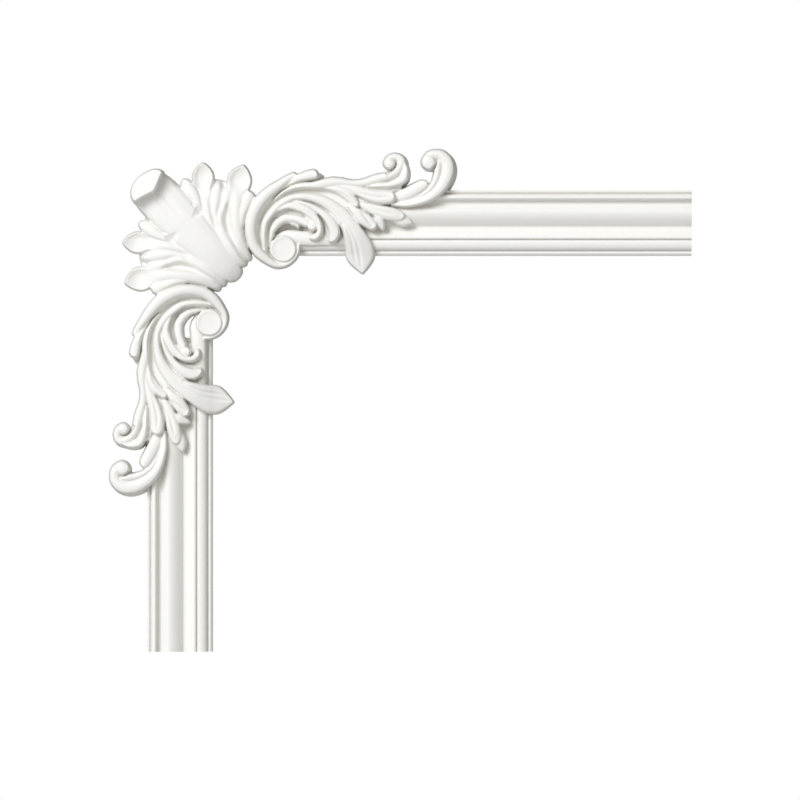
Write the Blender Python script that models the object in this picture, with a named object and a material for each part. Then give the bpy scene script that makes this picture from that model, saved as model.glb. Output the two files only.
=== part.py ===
"""Rococo corner of a wall panel moulding, cast in one piece with two stub runs of its moulding.

The model is in metres with +Z up. The flat back is the plane y = 0, and the relief stands out
towards -Y. The origin is on the back, where the centre lines of the two runs would cross.
Sizes below are in millimetres and are turned into metres where the meshes are made.
"""

import math

import bmesh
import bpy
import numpy as np
from mathutils import Vector
from mathutils.bvhtree import BVHTree

MM = 0.001

# Driving dimensions of the two moulding runs.
MOULDING_OUTER = 32.9        # from a run's centre line to its outer edge
MOULDING_INNER = 32.8        # from a run's centre line to its inner edge
TOP_RUN_END = 512.0          # square end of the top run, along X
SIDE_RUN_END = -429.0        # square end of the side run, along Z
RUN_START = 86.0             # where each run begins, under its scroll
CASTING_THICKNESS = 16.4     # height of the bead, the highest line of the moulding

# Driving dimensions of the ornament.
SIDE_SHIFT = (3.0, 3.5)      # the side half sits this far off a true mirror of the top half
DRAFT = 0.03                 # how far a wall leans out for each unit it drops, on every side
LEAN = 0.08                  # how much more it leans on the sides that face the panel
LEAN_TOWARDS = (0.72, -0.69)
BELOW_BACK = -7.0            # walls run on past the back plane and are cut off there
GRID = 1.2                   # spacing of the points that the relief is read at
SOFTENING = 0.75             # how far a crease of the casting is rounded
RELIEF_TRIANGLES = 7600
RELIEF_BOX = (-80.0, 290.0, -286.0, 82.0)

# The recess behind each eye goes right through on the side run and is blind on the top run.
BLIND_RECESS_FLOOR = 2.0


def smooth_line(rows, steps=9):
    """A smooth line through rows of x, z, half width and height, with its length so far."""
    rows = np.array(rows, float)
    points = np.vstack([2 * rows[0] - rows[1], rows, 2 * rows[-1] - rows[-2]])
    line = []
    for i in range(1, len(points) - 2):
        before, start, end, after = points[i - 1:i + 3]
        for k in range(steps):
            t = k / steps
            bend = 2 * before - 5 * start + 4 * end - after
            twist = -before + 3 * start - 3 * end + after
            line.append(start + 0.5 * ((end - before) * t + bend * t ** 2 + twist * t ** 3))
    line = np.array(line + [points[-2]])
    pace = np.linalg.norm(np.diff(line[:, :2], axis=0), axis=1)
    return line, np.concatenate([[0.0], np.cumsum(pace)])


# Cross-sections of the fronds: s runs from -1 at one edge to 1 at the other, and the value is
# how far the surface lies above or below the crest, as a share of the half width.
def valley(s, centre, width, depth):
    return -depth * np.exp(-((s - centre) / width) ** 2)


def rounded(s):
    return -0.9 * (1 - np.sqrt(1 - 0.9 * s ** 2))


def crowned(s):
    return -0.30 * s ** 2 - 0.14 * np.abs(s) ** 6


def flat(s):
    return -0.06 * s ** 2 - 0.14 * np.abs(s) ** 10


def spooned(s):
    return -0.44 * (1 - np.abs(s) ** 2.8) - 0.10 * np.abs(s) ** 14


def veined(s):
    return (-0.16 * s ** 2 - 0.12 * np.abs(s) ** 10 + valley(s, -0.42, 0.10, 0.07)
            + valley(s, -0.05, 0.12, 0.06))


def fluted(s):
    return (-0.13 * s ** 2 - 0.12 * np.abs(s) ** 7 + valley(s, -0.62, 0.10, 0.014)
            + valley(s, 0.66, 0.10, 0.014) + valley(s, 0.0, 0.35, 0.02))


# How the half width dies away towards an end, q being 0 at the end and 1 where it is full.
END_SHAPES = {
    "round": lambda q: np.sqrt(np.maximum(0.0, 1 - (1 - q) ** 2)),
    "leaf": lambda q: q * (2 - q),
    "ogive": lambda q: (q * (2 - q)) ** 0.75,
    "sharp": lambda q: q,
    "cut": lambda q: np.ones_like(q),
}


def outward(rim):
    """Unit directions out of a closed rim that runs with its outside on the right-hand side."""
    for reach in (1, 2, 3, 4):
        along = np.roll(rim, -reach, axis=0) - np.roll(rim, reach, axis=0)
        if reach == 1:
            best = along
        short = np.linalg.norm(best, axis=1) < 0.4
        best[short] = along[short]
    size = np.linalg.norm(best, axis=1, keepdims=True) + 1e-9
    return np.stack([best[:, 1], -best[:, 0]], axis=1) / size


def wall_offsets(out, heights, lean):
    """How far the foot of the wall lies from its rim at each rim point."""
    towards = np.maximum(0.0, out @ np.array(LEAN_TOWARDS))
    return (heights - BELOW_BACK) * (DRAFT + lean * towards)


def frond(rows, section=rounded, tip="round", tail="cut", tip_length=0.0, tail_length=0.0, lean=LEAN,
          tilt=0.0, columns=21, changes_to=None):
    """Points and faces of one frond: a surface lofted along its spine, with walls down past the back.

    rows are (x, z, half width, height) along the spine. lean is one value, or a pair for the left
    and right sides, and each of the pair may be several values spread along the length.
    changes_to is another section with the two shares of the length between which the first
    section turns into it.
    """
    line, length = smooth_line(rows)
    count = len(line)
    along = np.gradient(line[:, :2], axis=0)
    along /= np.linalg.norm(along, axis=1, keepdims=True) + 1e-9
    across = np.stack([-along[:, 1], along[:, 0]], axis=1)
    half = np.maximum(line[:, 2], 0.05)
    total = length[-1]
    for shape, distance, reach, end in ((tip, total - length, tip_length, half[-1]),
                                        (tail, length, tail_length, half[0])):
        half = half * END_SHAPES[shape](np.clip(distance / (reach or max(end, 0.5)), 0, 1))
    half = np.maximum(half, 0.03)
    s = np.sin(np.linspace(-1, 1, columns) * math.pi / 2)
    shape = np.repeat(section(s)[None], count, axis=0)
    if changes_to:
        other, start, end = changes_to
        share = np.clip((length / total - start) / (end - start), 0, 1)
        share = (share ** 2 * (3 - 2 * share))[:, None]
        shape = shape * (1 - share) + other(s)[None] * share
    plan = line[:, None, :2] + across[:, None] * (half[:, None, None] * s[None, :, None])
    height = line[:, 3][:, None] + half[:, None] * (shape + tilt * s[None])
    points = np.dstack([plan, height]).reshape(-1, 3)
    index = np.arange(count * columns).reshape(count, columns)
    faces = [(index[i, j], index[i + 1, j], index[i + 1, j + 1], index[i, j + 1])
             for i in range(count - 1) for j in range(columns - 1)]
    loop = list(index[:, 0]) + list(index[-1, 1:-1]) + list(index[::-1, -1]) + list(index[0, -2:0:-1])
    rim = points[loop]
    out = outward(rim[:, :2])
    if isinstance(lean, tuple):
        spread = np.linspace(0, 1, count)
        left, right = [np.interp(spread, np.linspace(0, 1, np.size(side)), np.atleast_1d(side))
                       for side in lean]
        tip, tail = [np.full(columns - 2, (left[end] + right[end]) / 2) for end in (-1, 0)]
        lean = np.concatenate([right, tip, left[::-1], tail])
    offset = wall_offsets(out, rim[:, 2], lean)[:, None]
    shoulder = np.hstack([rim[:, :2] + out * 0.35, rim[:, 2:] - 0.5])
    foot = np.hstack([rim[:, :2] + out * offset, np.full((len(rim), 1), BELOW_BACK)])
    first, ring = len(points), len(rim)
    for a in range(ring):
        b = (a + 1) % ring
        faces.append((loop[a], first + a, first + b, loop[b]))
        faces.append((first + a, first + ring + a, first + ring + b, first + b))
    return np.vstack([points, shoulder, foot]), faces


def boss(x, z, radius, height, flat_radius=0.0, bulge=0.9, lean=LEAN, sides=36):
    """Points and faces of a round boss: a flat disc, a rounded shoulder and a wall."""
    angle = np.linspace(0, 2 * math.pi, sides, endpoint=False)
    unit = np.stack([np.cos(angle), np.sin(angle)], axis=1)
    middle = np.array([x, z])
    rings = []
    for turn in np.linspace(0.04, 1, 9) * math.pi / 2:
        spread = (radius - flat_radius) * math.sin(turn)
        drop = (radius - flat_radius) * bulge * (1 - math.cos(turn))
        rings.append(np.hstack([middle + unit * (flat_radius + spread), np.full((sides, 1), height - drop)]))
    edge = rings[-1][:, 2]
    reach = radius + wall_offsets(unit, edge, lean)
    rings.append(np.hstack([middle + unit * reach[:, None], np.full((sides, 1), BELOW_BACK)]))
    faces = [(0, 1 + j, 1 + (j + 1) % sides) for j in range(sides)]
    for k in range(len(rings) - 1):
        inner, outer = 1 + k * sides, 1 + (k + 1) * sides
        for j in range(sides):
            after = (j + 1) % sides
            faces.append((inner + j, outer + j, outer + after, inner + after))
    return np.vstack([[[x, z, height]]] + rings), faces


def plate(outline, height, rise, lean, rounding=0.7):
    """Points and faces of a flat-faced form with a closed smooth outline, which runs anticlockwise.

    rise is how far the face climbs for each millimetre towards the panel.
    """
    rows = np.array([(x, z, 1.0, 0.0) for x, z in outline + outline[:4]])
    line = smooth_line(rows, 6)[0]
    span = 6 * len(outline)
    rim = line[6:6 + span, :2]
    out = outward(rim)
    middle = rim.mean(axis=0)
    towards = np.array(LEAN_TOWARDS)
    rings = []
    for share, drop in ((0.5, 0.0), (0.8, 0.0), (0.93, 0.1), (1.0, rounding)):
        place = middle + (rim - middle) * share
        level = height + rise * (place @ towards)
        rings.append(np.hstack([place, (level - drop)[:, None]]))
    foot = rim + out * wall_offsets(out, rings[-1][:, 2], lean)[:, None]
    rings.append(np.hstack([foot, np.full((span, 1), BELOW_BACK)]))
    top = [[middle[0], middle[1], height + rise * (middle @ towards)]]
    faces = [(0, 1 + j, 1 + (j + 1) % span) for j in range(span)]
    for k in range(len(rings) - 1):
        inner, outer = 1 + k * span, 1 + (k + 1) * span
        faces += [(inner + j, outer + j, outer + (j + 1) % span, inner + (j + 1) % span) for j in range(span)]
    return np.vstack([top] + rings), faces


def cartouche():
    """The trumpet on the diagonal and its rolled lip."""
    trumpet = frond([(-33, 37, 21.5, 22.5), (-27, 31, 22.4, 23.5), (-20, 24, 22.6, 25.8),
                     (-11, 14.5, 21.6, 27.8), (-2, 5.5, 20.4, 28.4), (8, -4.8, 20, 28.4),
                     (16.5, -13.3, 19, 28.4), (25.3, -21.8, 17, 28), (33.5, -30.3, 15, 27),
                     (41, -37.8, 12.9, 25), (49, -45.8, 11.1, 21.5), (54.5, -51.5, 9.4, 17),
                     (58.5, -55.8, 8.2, 12)], fluted, tip_length=5, columns=41, lean=0.0)
    lip = plate([(-43, 22.2), (-38, 25.2), (-30.5, 28.9), (-26.8, 30.6), (-25, 32.3), (-22, 39),
                 (-19, 46.5), (-17.3, 51), (-20.5, 53.3), (-26.5, 53.8), (-33, 51.5), (-39.5, 47.5),
                 (-45, 42), (-48.5, 35), (-49.3, 29), (-48, 24), (-45.5, 20.5)], 49.2, 0.18, 0.12, 1.1)
    return [trumpet, lip]


def acanthus():
    """The leaves that fan out beside the cartouche, from its lip round to its collar."""
    low_web = frond([(-6, 33, 4, 10), (6, 33, 6.5, 11), (20, 33, 8.5, 12), (38, 34, 9.3, 12.5),
                     (50, 34, 6, 12)], flat, tip_length=3)
    web = frond([(4, 26, 6, 16), (16, 19, 9, 19), (28, 14, 12, 20), (42, 12, 14, 20), (53, 5, 13, 20),
                 (59, -9, 10, 19), (67, -26, 3, 15)], flat, tip_length=4)
    base = frond([(14, 14, 8, 21.5), (24, 5, 8, 22), (34, -6, 8, 22.5), (44, -16, 8, 22.5),
                  (53, -26, 7, 21), (61, -35, 5, 17)], flat, tip_length=4)
    first = frond([(23, 9, 2.5, 24.5), (17.8, 19, 4.8, 24.5), (12.4, 29, 6.4, 23), (7.6, 36, 6.2, 21),
                   (3.2, 44.3, 4.4, 17.5)], crowned, tip_length=7)
    second = frond([(33, -8, 2, 24.5), (28.5, 8, 4.2, 25.6), (26.3, 20, 5, 25.3), (25, 30, 5.9, 24),
                    (23.3, 37, 8.8, 22.3), (22.9, 45, 10.7, 20.8), (22.8, 60.6, 9.5, 21)], rounded,
                   tip="ogive", tip_length=14, changes_to=(spooned, 0.35, 0.66), lean=0.02)
    third = frond([(46, -12, 2.5, 24.5), (39, 4, 4, 26), (35.6, 17, 5, 25.5), (36.4, 28, 5.4, 24),
                   (39.6, 42.3, 4.4, 19)], crowned, tip="leaf", tip_length=10)
    sprig = frond([(46, -2, 2, 23), (43.6, 8, 2.6, 24.3), (43.9, 17, 3.6, 24.6), (46.4, 24.5, 5, 24.3),
                   (46.8, 30, 4.4, 23), (45, 36.3, 2, 20)], crowned, tip="leaf", tip_length=6)
    band = frond([(38, -6, 2, 25), (44, -14, 3.8, 26), (50, -22.5, 4.6, 26), (55.8, -30.5, 4.7, 24),
                  (61, -37.3, 4.3, 20), (65, -42.3, 3.4, 15)], rounded, tip_length=3, tail="round",
                 lean=0.1)
    fourth = frond([(71, -37, 3, 12), (66.5, -32, 4.2, 17.5), (60.2, -20, 5.4, 23.5), (57, -6, 6, 26),
                    (56, 8, 6.4, 26.8), (56.3, 20, 7.2, 26.3), (57.6, 30, 9.4, 24.3), (58.6, 38, 11.4, 22.3),
                    (59.8, 45, 11.8, 21), (63.8, 58.3, 9, 21.3)], rounded, tip="ogive", tip_length=14,
                   tail="round", tail_length=3, changes_to=(spooned, 0.6, 0.82), lean=0.02)
    fifth = frond([(61, -4, 2, 25), (62, 8, 4.5, 26.3), (65.5, 19, 5.6, 25.6), (70, 28, 5.6, 23.5),
                   (72, 31, 4.6, 22)], crowned, tip_length=4)
    return [low_web, web, base, first, second, third, sprig, band, fourth, fifth]


def scroll():
    """The C-scroll: its rim and lobes, the strands inside it and the flat eye."""
    web = frond([(114, -36, 2, 7), (100, -40, 3, 8), (86, -33, 6, 10), (78.5, -16, 8, 12), (81, 4, 8, 13.5),
                 (92, 18, 7, 14.5), (106, 25, 8.5, 15.5), (122, 27, 10, 16), (140, 25, 13, 16),
                 (156, 24, 16, 16.5), (172, 22, 15, 17), (190, 24, 11, 17), (206, 24, 7, 16.5)], flat,
                tip_length=8)
    rim = frond([(118.3, -21, 1.3, 15), (117.7, -27, 1.9, 16.2), (114.8, -33.5, 2.4, 16.6),
                 (109.5, -38.7, 2.7, 16.8), (103, -41.7, 2.9, 17), (95.5, -41.6, 3.4, 18),
                 (87.5, -37.3, 4.1, 19.3), (79.3, -30.5, 4.9, 21.5), (73, -21, 5.1, 23.5),
                 (70.4, -8, 5.2, 25.8), (71.3, 4, 5.5, 27), (75.5, 15, 5.8, 27.5), (82.3, 25, 5.8, 27.3),
                 (91, 33, 5.2, 26.5), (100.5, 39.5, 4.5, 25.5), (107.5, 44, 4.1, 25),
                 (117, 48.8, 3.9, 24)], rounded,
                lean=(0.05, (0.05, 0.1, 0.45, 0.5, 0.3, 0.08)))
    lobe = frond([(100, 33.6, 0.6, 22.5), (107, 38.8, 1.5, 24), (114, 43, 2.8, 25.5), (122, 46.5, 4, 27),
                  (130, 48.6, 4.7, 28), (138.8, 49.6, 4.6, 28)], crowned, tip_length=4.2,
                 lean=(0.05, (0.05, 0.12)))
    hook = frond([(109, 21.6, 0.5, 20.5), (120, 20.6, 1.4, 22), (130.5, 17, 2.4, 22.8), (141, 11, 3.4, 23.3),
                  (149, 3.8, 4.6, 23.6), (153.6, -4.6, 5.2, 23.3), (154, -12, 4.6, 22.3),
                  (150.5, -19.3, 3, 20)], crowned, tip_length=4, lean=(0.12, 0.05))
    flank = frond([(136, 13, 1.5, 19), (143, 7.5, 3, 19.5), (148, 0, 4, 19.3), (149.3, -7, 4, 18.5),
                   (147, -13, 3, 17.5)], rounded, tip_length=3, lean=0.0)
    inner_curl = frond([(88.5, 4.5, 0.6, 18.5), (94, 11.4, 1.9, 20.5), (100, 14.9, 2.8, 21.3),
                        (107, 17.2, 3.1, 21.8), (114, 16.8, 3.6, 22), (121, 14.4, 4, 22.3),
                        (127.5, 10.6, 4.4, 22.3), (133.2, 6, 4.6, 22.3), (137.8, 0.6, 3.2, 22.3),
                        (139.6, -5, 2.4, 21.6), (138.6, -10.6, 2.6, 20.6), (134.6, -14.2, 2.8, 19.6),
                        (129.3, -14, 2.3, 18.6)], rounded, lean=(0.25, 0.1))
    curl_ball = boss(132.6, -3, 5, 22.8, bulge=0.8, lean=0.1)
    inner_strand = frond([(89.6, -21, 0.7, 13), (91, -14, 1.8, 15), (92.4, -7.5, 2.6, 16.8),
                          (95.6, -2, 3.4, 18), (99.6, 2, 4, 18.8), (104.8, 4.6, 4.3, 19.3),
                          (110.8, 5, 4.4, 19.8), (117, 4, 4.2, 20.3), (123.4, 1.8, 4.2, 20.8),
                          (129, -1, 4.2, 21.3)], rounded, lean=(0.05, 0.12))
    eye = boss(103, -26, 13.2, 18.6, flat_radius=11.8, bulge=0.9, lean=0.06)
    bed = frond([(96, -18, 5, 13), (106, -14, 7.2, 13.8), (117, -14.2, 7.4, 14), (128, -14.8, 7.4, 13.6),
                 (142, -14.8, 7.3, 13), (168, -14.8, 7.3, 13)], rounded, tip="cut", lean=0.1)
    return [web, rim, lobe, hook, flank, inner_curl, curl_ball, inner_strand, eye, bed]


def sprays():
    """What grows out of the scroll along the run: the drooping leaf, the side leaves and the two curls."""
    main_leaf = frond([(86.5, -31, 0.8, 14.5), (84.2, -24, 1.8, 17), (83.3, -15, 2.4, 19),
                       (83.5, -7, 2.6, 20.3), (85.1, 1, 2.9, 21), (89, 7.6, 3.2, 21.5),
                       (94.6, 14, 3.4, 22), (102, 19.8, 3.4, 22.3), (110, 24, 3.2, 22.6),
                       (119, 26, 3.3, 23), (128, 25.9, 3.6, 23.3), (137, 24, 4.4, 23.5),
                       (145.5, 20.5, 5.2, 23.7), (154, 14.6, 6, 23.7), (162.5, 6.6, 7.2, 23.5),
                       (169.6, -3.4, 8.6, 23), (175.2, -13.8, 11, 21), (178.8, -24, 13.8, 17.5),
                       (180.5, -34, 14.2, 13.5), (182.4, -51, 11.5, 8.5)], rounded, tip="leaf",
                      tip_length=19, lean=0.1, changes_to=(veined, 0.5, 0.72), columns=33)
    upper = frond([(88, 17, 0.4, 18), (94.3, 23.4, 0.7, 20.5), (101, 29.2, 1.0, 22), (107, 33, 1.4, 23),
                   (114, 36, 2.1, 24), (122, 37.7, 2.8, 24.5), (131, 37.8, 3.1, 24.8),
                   (141, 38.8, 4.6, 25), (150, 40.4, 5.6, 25), (160, 41, 4.8, 24.8), (172, 39.6, 4, 24.5),
                   (184, 40.4, 4.4, 24.8), (195, 43.6, 5.2, 25.3), (204, 46, 4.6, 25.5),
                   (211.5, 48.8, 3.8, 25.5), (216.8, 53.3, 3.7, 25.5), (219.8, 59.3, 4.3, 25.3),
                   (218.4, 64.6, 4.4, 25), (213.2, 66, 4, 25), (209, 63, 4.8, 25.5),
                   (208.6, 60, 4.8, 25.5)], rounded, lean=0.18)
    upper_fold = frond([(186, 36.3, 0.8, 23.5), (196, 37.3, 1.6, 24.6), (207, 38.6, 2.3, 25.5),
                        (215.4, 42, 3, 26), (220.8, 47, 3.4, 26), (223.2, 52, 3, 25.8),
                        (224, 57, 2, 25.5)], rounded, tip="leaf", tip_length=5, lean=0.2)
    upper_ball = boss(209.2, 60.2, 6.3, 26.8, bulge=0.6, lean=0.1)
    short_leaf = frond([(140, 36, 1.5, 23), (152, 35.2, 3, 24), (162, 31.4, 4.2, 24.5),
                        (170, 26, 4.6, 24.8), (177.3, 16.4, 3.9, 24)], rounded, lean=(0.05, 0.2))
    long_leaf = frond([(150, 39, 2, 24), (165, 36, 3, 24.3), (178, 31.8, 4.4, 24.8), (189, 28, 5.6, 25.3),
                       (200, 25.8, 6.4, 25.3), (214.8, 26.3, 5.8, 24.3)], crowned, lean=0.22)
    thumb = frond([(168, 18, 1.5, 22), (174.5, 12.3, 4, 23.3), (181, 6.3, 6, 24), (188, 1.4, 6.4, 24),
                   (196, -4, 5.6, 23)], crowned, tip_length=5, lean=0.16)
    dart = frond([(190, 14, 1.5, 19), (196.5, 8, 3, 20.5), (200.4, 2, 3.7, 21), (202.6, -8.5, 2.8, 18.5)],
                 crowned, tip="leaf", tip_length=7)
    paddle = frond([(178, 20, 2, 20.5), (190, 15, 5, 21.3), (201, 11.5, 6.2, 21.8), (211, 9, 6.8, 21.5),
                    (224.4, 6.3, 5.4, 20)], crowned, tip_length=6, lean=0.12)
    last_leaf = frond([(205, 12, 4, 17.5), (214, 8, 7, 18.3), (223, 3, 6.5, 18), (233, 0.4, 5, 15.5)],
                      crowned, tip="leaf", tip_length=10)
    bud = frond([(205, 26, 3, 21), (216, 26.4, 5.4, 22.5), (226, 29, 6.3, 24), (235.5, 33.8, 6.4, 25.3),
                 (247.6, 40.6, 5.6, 25.5)], crowned)
    outer = frond([(213, 17.5, 0.8, 18.5), (226, 18.6, 1.8, 20.5), (238, 21.4, 3, 22.5),
                   (249, 26.3, 4.4, 24), (258.5, 34, 5.4, 25.3), (264.8, 43.3, 6, 26),
                   (267.6, 52.5, 6.4, 26), (266.4, 61, 6.5, 25.8), (261.4, 67, 6.2, 25.5),
                   (254.5, 68.9, 5, 25.3), (248.6, 66, 5.4, 25.5), (247.8, 61.5, 6, 25.5)], rounded,
                  lean=0.18)
    outer_fold = frond([(240, 27, 1, 22.5), (248, 32, 2.4, 24), (253.4, 38.5, 3.4, 25),
                        (256.6, 46, 3.9, 25.3), (258.3, 54, 3.7, 25.3), (259.5, 63, 2.6, 25)], rounded,
                       tip="leaf", tip_length=6, lean=0.1)
    outer_ball = boss(248.8, 61.2, 8, 27.6, bulge=0.55, lean=0.1)
    return [main_leaf, upper, upper_fold, upper_ball, short_leaf, long_leaf, thumb, dart, paddle,
            last_leaf, bud, outer, outer_fold, outer_ball]


def on_side_run(shape):
    """The same shape mirrored across the diagonal, as the side half has it."""
    points, faces = shape
    turned = points.copy()
    turned[:, 0] = SIDE_SHIFT[0] - points[:, 1]
    turned[:, 1] = SIDE_SHIFT[1] - points[:, 0]
    return turned, faces


def heights_from_front(shapes):
    """The height of the highest shape at each grid point, which is what a one-piece casting keeps."""
    points, faces, first = [], [], 0
    for shape_points, shape_faces in shapes:
        points += [Vector(p) for p in shape_points]
        faces += [[int(i) + first for i in face] for face in shape_faces]
        first += len(shape_points)
    tree = BVHTree.FromPolygons(points, faces)
    left, right, low, high = RELIEF_BOX
    xs = np.arange(left, right, GRID)
    zs = np.arange(low, high, GRID)
    heights = np.full((len(zs), len(xs)), BELOW_BACK)
    into = Vector((0, 0, -1))
    for i, z in enumerate(zs):
        for j, x in enumerate(xs):
            hit = tree.ray_cast(Vector((x, z, 90.0)), into)[0]
            if hit is not None:
                heights[i, j] = hit.z
    return xs, zs, heights


def softened(heights):
    """The heights with every crease rounded a little, as a mould and its paint leave it."""
    reach = max(1, math.ceil(2.5 * SOFTENING / GRID))
    offsets = np.arange(-reach, reach + 1) * GRID
    weights = np.exp(-0.5 * (offsets / SOFTENING) ** 2)
    weights /= weights.sum()
    for axis in (0, 1):
        width = [(reach, reach) if axis == a else (0, 0) for a in (0, 1)]
        padded = np.pad(heights, width, mode="edge")
        span = heights.shape[axis]
        heights = sum(w * np.take(padded, np.arange(k, k + span), axis=axis) for k, w in enumerate(weights))
    return heights


def relief_surface(name):
    """The ornament's front as an open surface that runs on past the back plane."""
    half = acanthus() + scroll() + sprays()
    xs, zs, heights = heights_from_front(cartouche() + half + [on_side_run(shape) for shape in half])
    heights = softened(heights)
    kept = heights > BELOW_BACK + 1.0
    cells = kept[:-1, :-1] | kept[1:, :-1] | kept[:-1, 1:] | kept[1:, 1:]
    used = np.zeros_like(kept)
    for rows in (slice(None, -1), slice(1, None)):
        for columns in (slice(None, -1), slice(1, None)):
            used[rows, columns] |= cells
    number = np.cumsum(used).reshape(used.shape) - 1
    row, column = np.nonzero(used)
    points = np.stack([xs[column], -heights[row, column], zs[row]], axis=1) * MM
    row, column = np.nonzero(cells)
    faces = np.stack([number[row, column], number[row, column + 1], number[row + 1, column + 1],
                      number[row + 1, column]], axis=1)
    mesh = bpy.data.meshes.new(name)
    mesh.from_pydata(points.tolist(), [], faces.tolist())
    return mesh


def thinned(mesh, triangles):
    """The same surface with about this many triangles, most of them where it bends."""
    helper = bpy.data.objects.new("thinning", mesh)
    bpy.context.scene.collection.objects.link(helper)
    thin = helper.modifiers.new("thin", "DECIMATE")
    thin.ratio = triangles / (2 * len(mesh.polygons))
    thin.use_collapse_triangulate = True
    evaluated = helper.evaluated_get(bpy.context.evaluated_depsgraph_get())
    result = bmesh.new()
    result.from_mesh(evaluated.to_mesh())
    bpy.data.objects.remove(helper, do_unlink=True)
    return result


def closed_at_back(surface):
    """Cuts the surface at the back plane, keeps its main body and closes the flat back."""
    everything = surface.verts[:] + surface.edges[:] + surface.faces[:]
    bmesh.ops.bisect_plane(surface, geom=everything, dist=1e-7, plane_co=(0, 0, 0), plane_no=(0, 1, 0),
                           clear_outer=True)
    left = set(surface.faces)
    bodies = []
    while left:
        body, front = set(), {left.pop()}
        while front:
            face = front.pop()
            body.add(face)
            near = {other for edge in face.edges for other in edge.link_faces} & left
            left -= near
            front |= near
        bodies.append(body)
    main = max(bodies, key=len)
    bmesh.ops.delete(surface, geom=[f for f in surface.faces if f not in main], context="FACES")
    bmesh.ops.delete(surface, geom=[v for v in surface.verts if not v.link_faces], context="VERTS")
    border = [edge for edge in surface.edges if edge.is_boundary]
    bmesh.ops.triangle_fill(surface, edges=border, use_beauty=True, normal=(0, 1, 0))
    bmesh.ops.recalc_face_normals(surface, faces=surface.faces[:])


def arc(centre, radius, start, end, steps):
    """Points round an arc, its angles in degrees, in the profile's own plane."""
    angles = np.radians(np.linspace(start, end, steps))
    return [(centre[0] + radius * math.cos(a), centre[1] + radius * math.sin(a)) for a in angles]


def wave(start, end, steps):
    """An S-shaped stretch that leaves and arrives level."""
    share = np.linspace(0, 1, steps + 1)[1:]
    ease = share ** 2 * (3 - 2 * share)
    return [(start[0] + (end[0] - start[0]) * t, start[1] + (end[1] - start[1]) * e) for t,
            e in zip(share, ease)]


def moulding_profile():
    """The moulding's section: distance from its outer edge, then height over the back."""
    width = MOULDING_OUTER + MOULDING_INNER
    bead = CASTING_THICKNESS
    points = [(0.0, 0.0), (0.0, bead - 4.0), (0.4, bead - 3.5), (1.9, bead - 3.5), (3.5, bead - 6.1)]
    points += arc((6.5, bead - 2.8), 2.8, 190, 8, 8)
    points += [(9.9, bead - 4.6), (11.2, bead - 6.1)]
    points += wave((12.2, bead - 6.2), (21.5, bead - 2.8), 5)
    points += [(21.5 + d, bead - 2.8 - 0.0335 * d ** 2) for d in (2.6, 5.2, 7.8, 10.4, 12.8)]
    points += [(35.8, bead - 8.95)]
    points += wave((36.8, bead - 9.0), (47.6, bead - 6.9), 4)
    points += [(48.9, bead - 8.7)]
    points += [(53.0 + 7.3 * math.cos(a), bead - 13.6 + 5.6 * math.sin(a))
               for a in np.radians(np.linspace(118, 6, 7))]
    points += arc((62.5, bead - 15.0), 1.75, 165, 25, 4)
    points += [(width - 0.9, bead - 14.9), (width, 0.0)]
    return points


def run(name, along_top):
    """One moulding run as a plain extrusion of the profile, from under its scroll to its square end."""
    shape = bmesh.new()
    near, far = (RUN_START, TOP_RUN_END) if along_top else (-RUN_START, SIDE_RUN_END)
    ends = []
    for place in (near, far):
        ring = []
        for across, height in moulding_profile():
            offset = MOULDING_OUTER - across
            x, z = (place, offset) if along_top else (-offset, place)
            ring.append(shape.verts.new((x * MM, -height * MM, z * MM)))
        ends.append(ring)
        shape.faces.new(ring)
    bmesh.ops.bridge_loops(shape, edges=shape.edges[:])
    bmesh.ops.recalc_face_normals(shape, faces=shape.faces[:])
    return as_object(name, shape)


def as_object(name, shape):
    mesh = bpy.data.meshes.new(name)
    shape.to_mesh(mesh)
    shape.free()
    made = bpy.data.objects.new(name, mesh)
    bpy.context.scene.collection.objects.link(made)
    return made


def recess(name, on_side):
    """The crescent behind the eye, as a cutter for the run."""
    outline = [(92.5, -13.5), (94.5, -6.0), (100.0, 0.5), (108.0, 3.5), (117.0, 3.0), (124.0, -1.0),
               (123.5, -8.0), (116.0, -7.2), (107.0, -6.6), (99.5, -9.6)]
    deep = BELOW_BACK if on_side else BLIND_RECESS_FLOOR
    shape = bmesh.new()
    rings = []
    for height in (deep, 2 * CASTING_THICKNESS):
        places = [(SIDE_SHIFT[0] - z, SIDE_SHIFT[1] - x) if on_side else (x, z) for x, z in outline]
        rings.append([shape.verts.new((x * MM, -height * MM, z * MM)) for x, z in places])
        shape.faces.new(rings[-1])
    bmesh.ops.bridge_loops(shape, edges=shape.edges[:])
    bmesh.ops.recalc_face_normals(shape, faces=shape.faces[:])
    return as_object(name, shape)


def join(target, helper, operation):
    """A Boolean on target whose helper stays out of the model."""
    modifier = target.modifiers.new(helper.name, "BOOLEAN")
    modifier.operation = operation
    modifier.solver = "EXACT"
    modifier.object = helper
    helper.hide_render = True
    helper.display_type = "WIRE"


def primed_white():
    material = bpy.data.materials.new("primed_white")
    material.use_nodes = True
    shader = material.node_tree.nodes["Principled BSDF"]
    shader.inputs["Base Color"].default_value = (0.87, 0.87, 0.845, 1)
    shader.inputs["Roughness"].default_value = 0.55
    shader.inputs["Metallic"].default_value = 0.0
    return material


def corner_moulding():
    surface = thinned(relief_surface("relief"), RELIEF_TRIANGLES)
    closed_at_back(surface)
    corner = as_object("corner_moulding", surface)
    for side, on_side in (("top", False), ("side", True)):
        length = run(side + "_run", not on_side)
        join(length, recess(side + "_recess", on_side), "DIFFERENCE")
        join(corner, length, "UNION")
    corner.data.materials.append(primed_white())
    corner.data.shade_smooth()
    corner.data.set_sharp_from_angle(angle=math.radians(35))
    return corner


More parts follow.
